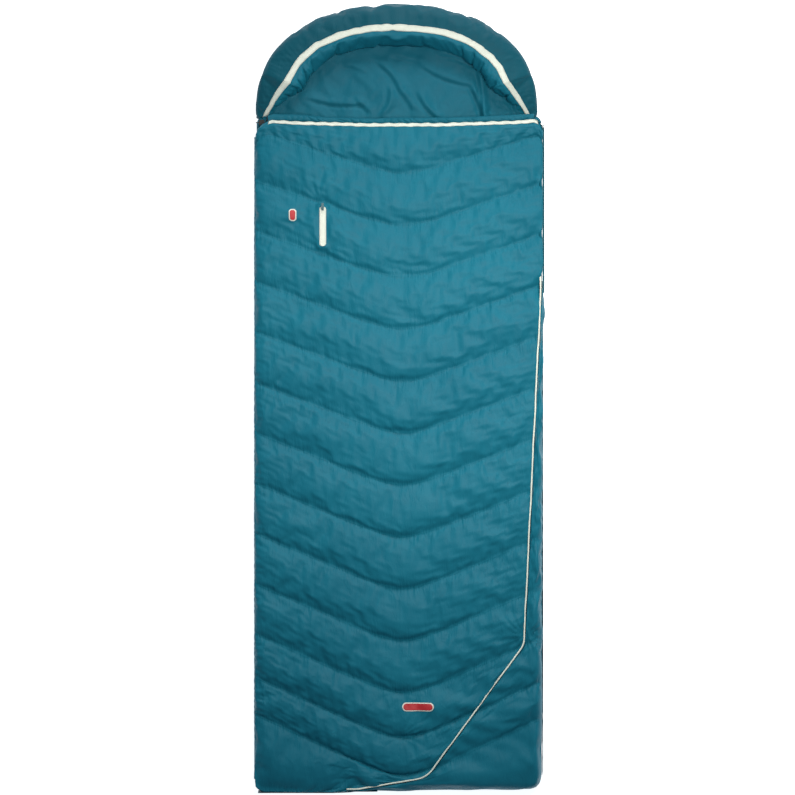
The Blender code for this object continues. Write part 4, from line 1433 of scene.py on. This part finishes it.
def build_drawcord():
    """The cord in the tunnel under the tape, seen only where it comes out at the left."""
    centres = crest_line(200, 3.0)[0]
    level = drop_on(RIM)
    heights = [level(x, y, 0.03) - 0.0036 for x, y in centres]
    path = np.column_stack([centres, heights])
    return tube("drawcord_run", path, [(CORD_RADIUS, CORD_RADIUS)] * 200, 8, CORD_BLACK)


# %% Neck tape and facing
def build_neck_tape():
    """The white tape along the cover's neck edge."""
    x = np.linspace(-0.3700, 0.3960, 260)
    edge = neck_y(x) - rounding(x - LEFT_X, LEFT_ROUND) - rounding(ZIP_X + OVERHANG - x, 0.034)
    centres = np.stack([x, edge - 0.0062 + 0.0006 * np.sin(x * 170) + waver(x, 311, 0.0008, 0.2)], -1)
    outs = np.repeat([[0.0, 1.0]], len(x), 0)
    halves = 0.0056 + 0.0005 * np.sin(x * 170 + 1)
    return ribbon("neck_binding", centres, outs, halves, 9, drop_on(COVER), 0.0008, 0.0010, BINDING, 2)


def build_facing():
    """The gathered roll of lining that shows above the neck tape."""
    x = np.linspace(-0.3730, 0.3850, 260)
    across = np.linspace(0, 1, 11)
    edge = neck_y(x) - rounding(x - LEFT_X, LEFT_ROUND) - rounding(ZIP_X + OVERHANG - x, 0.034)
    upper = np.zeros((260, 11, 3))
    wide = 0.0165 + 0.0020 * soft_noise(x * 14, x * 0, 317) + 0.0045 * np.exp(-(((x + 0.28) / 0.05) ** 2))
    upper[:, :, 0] = x[:, None] + 0.002 * soft_noise(x[:, None] * 40, across[None, :] * 2, 313)
    upper[:, :, 1] = edge[:, None] - 0.004 + (wide[:, None] + 0.004) * across[None, :]
    tucks = ridges(x[:, None] / 0.022 + across[None, :] * 0.8, across[None, :] * 1.5 + x[:, None] * 0, 331)
    rise = np.sin(math.pi * np.clip(across, 0, 1))[None, :] ** 0.6
    lower = upper.copy()
    upper[:, :, 2] = 0.0625 + rise * (0.0095 + 0.0045 * tucks)
    lower[:, :, 2] = 0.0625 - rise * 0.0070
    map_v, map_u = np.broadcast_arrays(across[None, :], x[:, None])
    obj, _ = closed_pad("neck_roll", upper, lower, map_v, map_u)
    obj.data.materials.append(LINING)
    smooth_up(obj)
    return obj


# %% Piping along the zip
def path_frame(path):
    """Outward directions along a flat path."""
    along = np.gradient(path, axis=0)
    along /= np.linalg.norm(along, axis=1)[:, None]
    return np.stack([-along[:, 1], along[:, 0]], -1)


def even(path, step):
    """The same path with evenly spaced points."""
    lengths = np.concatenate([[0], np.cumsum(np.linalg.norm(np.diff(path, axis=0), axis=1))])
    count = int(lengths[-1] / step) + 1
    wanted = np.linspace(0, lengths[-1], count)
    return np.stack([np.interp(wanted, lengths, path[:, k]) for k in (0, 1)], -1)


def build_piping():
    """The pale cord sewn along the cover's edge, tucked under on the side and foot."""
    path = even(ZIP_PATH, 0.004)
    path = path[(path[:, 0] > -0.150) | (path[:, 1] > -1)]
    outs = path_frame(path)
    hidden = step_up(path[:, 1], 0.330, 0.375)
    foot = step_up(-path[:, 0], 0.105, 0.150) * (path[:, 1] < -1)
    travel = np.arange(len(path)) * 0.004
    sway = waver(travel, 401, 0.0009, 0.23) * (1 - hidden)
    spots = path - outs * (0.0008 + 0.0030 * hidden + 0.0030 * foot)[:, None] + outs * sway[:, None]
    level = 0.0808 + waver(travel, 409, 0.0006, 0.31) - 0.0208 * hidden - 0.0040 * foot
    centres = np.column_stack([spots, level])
    return tube("piping_cord", centres, [(0.0023, 0.0023)] * len(centres), 12, PIPING, 0.05)


HOOD_TAPE = build_hood_tape()
DRAWCORD = build_drawcord()
NECK_TAPE = build_neck_tape()
FACING = build_facing()
PIPE = build_piping()
print("tape, neck tape, facing and piping")

# %% Draught tube inside the zip
def build_draught():
    """The soft tube behind the zip, seen when the cover is open."""
    path = even(ZIP_PATH, 0.008)
    outs = path_frame(path)
    keep = (path[:, 1] < 0.318) & (path[:, 0] > -0.178)
    spots = path[keep] - outs[keep] * 0.0125
    travel = np.arange(len(spots)) * 0.008
    ends = round_edge(np.minimum(travel, travel[-1] - travel), 0.02)
    sizes = [(0.0073 * max(e, 0.15), 0.0066 * max(e, 0.15)) for e in ends]
    centres = np.column_stack([spots, np.full(len(spots), 0.0437)])
    return tube("draught_roll", centres, sizes, 16, LINING, 0.12)


# %% Left fold
def build_left_fold():
    """The folded side that joins the underlay to the cover, with small puckers."""
    y = np.linspace(FOOT_Y + 0.030, 0.742, 360)
    turn = np.linspace(-math.pi / 2, math.pi / 2, 11)
    grid = np.zeros((len(y), 11, 3))
    tucks = ridges(y / 0.016, y * 0, 421)
    bulge = 0.0030 + 0.0014 * tucks
    tucked = 0.0012 + 0.0060 * (1 - np.cos(turn)) ** 2
    grid[:, :, 0] = LEFT_X + tucked[None, :] - np.cos(turn)[None, :] * bulge[:, None]
    grid[:, :, 1] = y[:, None] + 0.0008 * soft_noise(y[:, None] * 90, turn[None, :] * 2, 431)
    grid[:, :, 2] = 0.0415 + 0.0255 * np.sin(turn)[None, :]
    inner = grid.copy()
    inner[:, :, 0] += 0.0016 * np.cos(turn)[None, :]
    map_u = y[:, None] + 0 * turn[None, :]
    obj, _ = closed_pad("left_fold", grid, inner, map_u / SEAM_PITCH, map_u)
    obj.data.materials.append(SHELL)
    turn_out(obj)
    return obj


# %% Pocket zip, pocket bag and patches
def patch(name, low, high, corner, level, lift, thick, material, rows=24, columns=17):
    """A thin rounded patch laid on the cloth."""
    middle = ((low[0] + high[0]) / 2, (low[1] + high[1]) / 2)
    half = ((high[0] - low[0]) / 2, (high[1] - low[1]) / 2)
    y = middle[1] + half[1] * np.sin(np.linspace(-math.pi / 2, math.pi / 2, rows))
    into = np.clip(abs(y - middle[1]) - (half[1] - corner), 0, corner)
    halves = half[0] - (corner - np.sqrt(np.maximum(corner ** 2 - into ** 2, 0)))
    centres = np.stack([np.full(rows, middle[0]), y], -1)
    outs = np.repeat([[1.0, 0.0]], rows, 0)
    return ribbon(name, centres, outs, np.maximum(halves, 0.0004), columns, level, lift, thick, material, 2)


def build_pocket_bag():
    """The flat bag that hangs inside the quilting behind the pocket zip."""
    low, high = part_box("pocket_bag")
    return patch("pocket_pouch", low, high, 0.015, lambda x, y, missing: 0.0590, 0, 0.0014, LINING, 20, 15)


DRAUGHT = build_draught()
LEFT_FOLD = build_left_fold()
ON_COVER = drop_on(COVER)


def zip_level(x, y, missing):
    """The cover's height under the pocket zip, kept close to the stiff tape."""
    return min(max(ON_COVER(x, y, 0.0835), 0.0832), 0.0843)


ZIP_BOX = (POCKET_LOW, POCKET_HIGH)
POCKET_ZIP = patch("pocket_zip", *ZIP_BOX, 0.0085, zip_level, 0.0002, 0.0010, BINDING, 50, 11)
POUCH = build_pocket_bag()


def grown(low, high, more):
    """A box's corners moved outward by a margin."""
    return (low[0] - more, low[1] - more), (high[0] + more, high[1] + more)


def edged_patch(name, node, more, corners, columns):
    """A red patch on a cream edge, over a badge of the frame."""
    low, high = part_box(node)
    edge = patch(f"{name}_edge", low, high, corners[0], ON_COVER, 0.0006, 0.0009, PATCH_CREAM, 24, columns)
    inside = grown(low, high, more)
    return edge, patch(name, *inside, corners[1], ON_COVER, 0.0010, 0.0012, PATCH_RED, 24, columns)


CHEST = edged_patch("chest_patch", "chest_badge", -0.0028, (0.0085, 0.0065), 17)
LABEL = edged_patch("foot_label", "foot_badge", -0.0026, (0.0110, 0.0090), 41)
print("pocket, draught tube, fold and patches")

# %% [markdown]
# ## Hardware finishes
# The coils, tapes, sliders, pulls, cord lock and cords already have their true shapes, so
# each only gets its finish.

# %% Finish the hardware
def finish_nodes(material, *names):
    """Give parts of the frame a finish."""
    for name in names:
        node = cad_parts[name]
        if not node.material_slots:
            node.data.materials.append(material)
        for slot in node.material_slots:
            slot.material = material


finish_nodes(ZIP_TAPE, "zip_tape_cover", "zip_tape_wrap")
finish_nodes(COIL_PLASTIC, "zip_coil_cover", "zip_coil_wrap")
finish_nodes(METAL, "top_slider", "foot_slider")
finish_nodes(COIL_PLASTIC, "top_pull", "foot_pull", "pocket_slider", "pocket_pull")
finish_nodes(PLASTIC, "cord_lock_body", "cord_lock_button")
finish_nodes(CORD_BLACK, "drawcord_tail")

# %% Spring of the cord lock
SPRING_LOW, SPRING_HIGH = (Vector(corner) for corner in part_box("cord_lock_spring"))
WIRE = 0.0003


def build_spring():
    """A small wire spring of three turns, turned on a screw and closed at both ends."""
    radius = (SPRING_HIGH.x - SPRING_LOW.x) / 2 - 0.0003
    length = SPRING_HIGH.y - SPRING_LOW.y - 0.0007
    bpy.ops.object.select_all(action="DESELECT")
    upright = (math.pi / 2, 0, 0)
    bpy.ops.mesh.primitive_circle_add(vertices=10, radius=WIRE, location=(radius, 0, 0), rotation=upright)
    obj = bpy.context.object
    obj.name = "lock_spring"
    bpy.ops.object.transform_apply(location=True, rotation=True, scale=True)
    screw = obj.modifiers.new("turns", "SCREW")
    screw.axis = "Z"
    screw.angle = math.radians(360 * 3)
    screw.screw_offset = length
    screw.steps = 72
    screw.render_steps = 72
    bpy.ops.object.modifier_apply(modifier="turns")
    bpy.ops.object.mode_set(mode="EDIT")
    bpy.ops.mesh.select_all(action="SELECT")
    bpy.ops.mesh.fill_holes(sides=0)
    bpy.ops.mesh.normals_make_consistent(inside=False)
    bpy.ops.object.mode_set(mode="OBJECT")
    bpy.ops.object.shade_smooth()
    obj.rotation_euler = (-math.pi / 2, 0, 0)
    middle = (SPRING_LOW + SPRING_HIGH) / 2
    obj.location = (middle.x, SPRING_LOW.y + 0.00035, middle.z)
    bpy.ops.object.transform_apply(location=True, rotation=True, scale=True)
    obj.data.materials.append(METAL)
    return obj


SPRING = build_spring()

# %% [markdown]
# ## Which piece moves with what
# The cover swings over on its left side and the hood tips about the neck. Each piece names
# the body it rides on and the frame parts that it stands for.

# %% Ride and replace
RIDES = (
    (COVER, "cover", ["cover_shell", "cover_liner"] + [f"cover_fill_{n:02d}" for n in range(1, 15)], 0.6),
    (BACK, "back", ["back_shell", "back_liner"] + [f"back_fill_{n:02d}" for n in range(1, 8)], 0.4),
    (WRAP, "back", ["wrap_fill", "wrap_shell"], 0.6),
    (WALL, "back", [], None),
    (FOOT_WALL, "back", [], None),
    (EDGE_WALL, "back", [], None),
    (HOOD_BASE, "hood", ["hood_shell", "hood_fill"], 0.5),
    (NECK_TAPE, "cover", ["neck_tape"], None),
    (FACING, "cover", ["neck_facing"], 0.5),
    (PIPE, "cover", ["zip_piping"], None),
    (DRAUGHT, "cover", ["draught_tube"], 0.5),
    (POCKET_ZIP, "cover", ["pocket_zip_tape"], None),
    (POUCH, "cover", ["pocket_bag"], None),
    (CHEST[0], "cover", ["chest_badge"], None),
    (LABEL[0], "cover", ["foot_badge"], None),
    (CHEST[1], "cover", [], None),
    (LABEL[1], "cover", [], None),
)
for piece, body, stands_for, fill in RIDES:
    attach(piece, body)
    if stands_for:
        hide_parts(*stands_for)
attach(SPRING, "back")
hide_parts("cord_lock_spring")
tuple(SPRING_HIGH)
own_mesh(SPRING)
for piece, stands_for in (
    (RIM, ["hood_rim_fill", "hood_rim_shell", "hood_rim_lining"]),
    (LINER, ["hood_liner"]),
    (HOOD_TAPE, ["hood_rim_tape"]),
    (DRAWCORD, ["hood_drawcord"]),
):
    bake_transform(piece)
    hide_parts(*stands_for)
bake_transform(LEFT_FOLD)
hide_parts("left_seam_tape")
print(len(RIDES), "soft pieces and trims placed on their bodies")
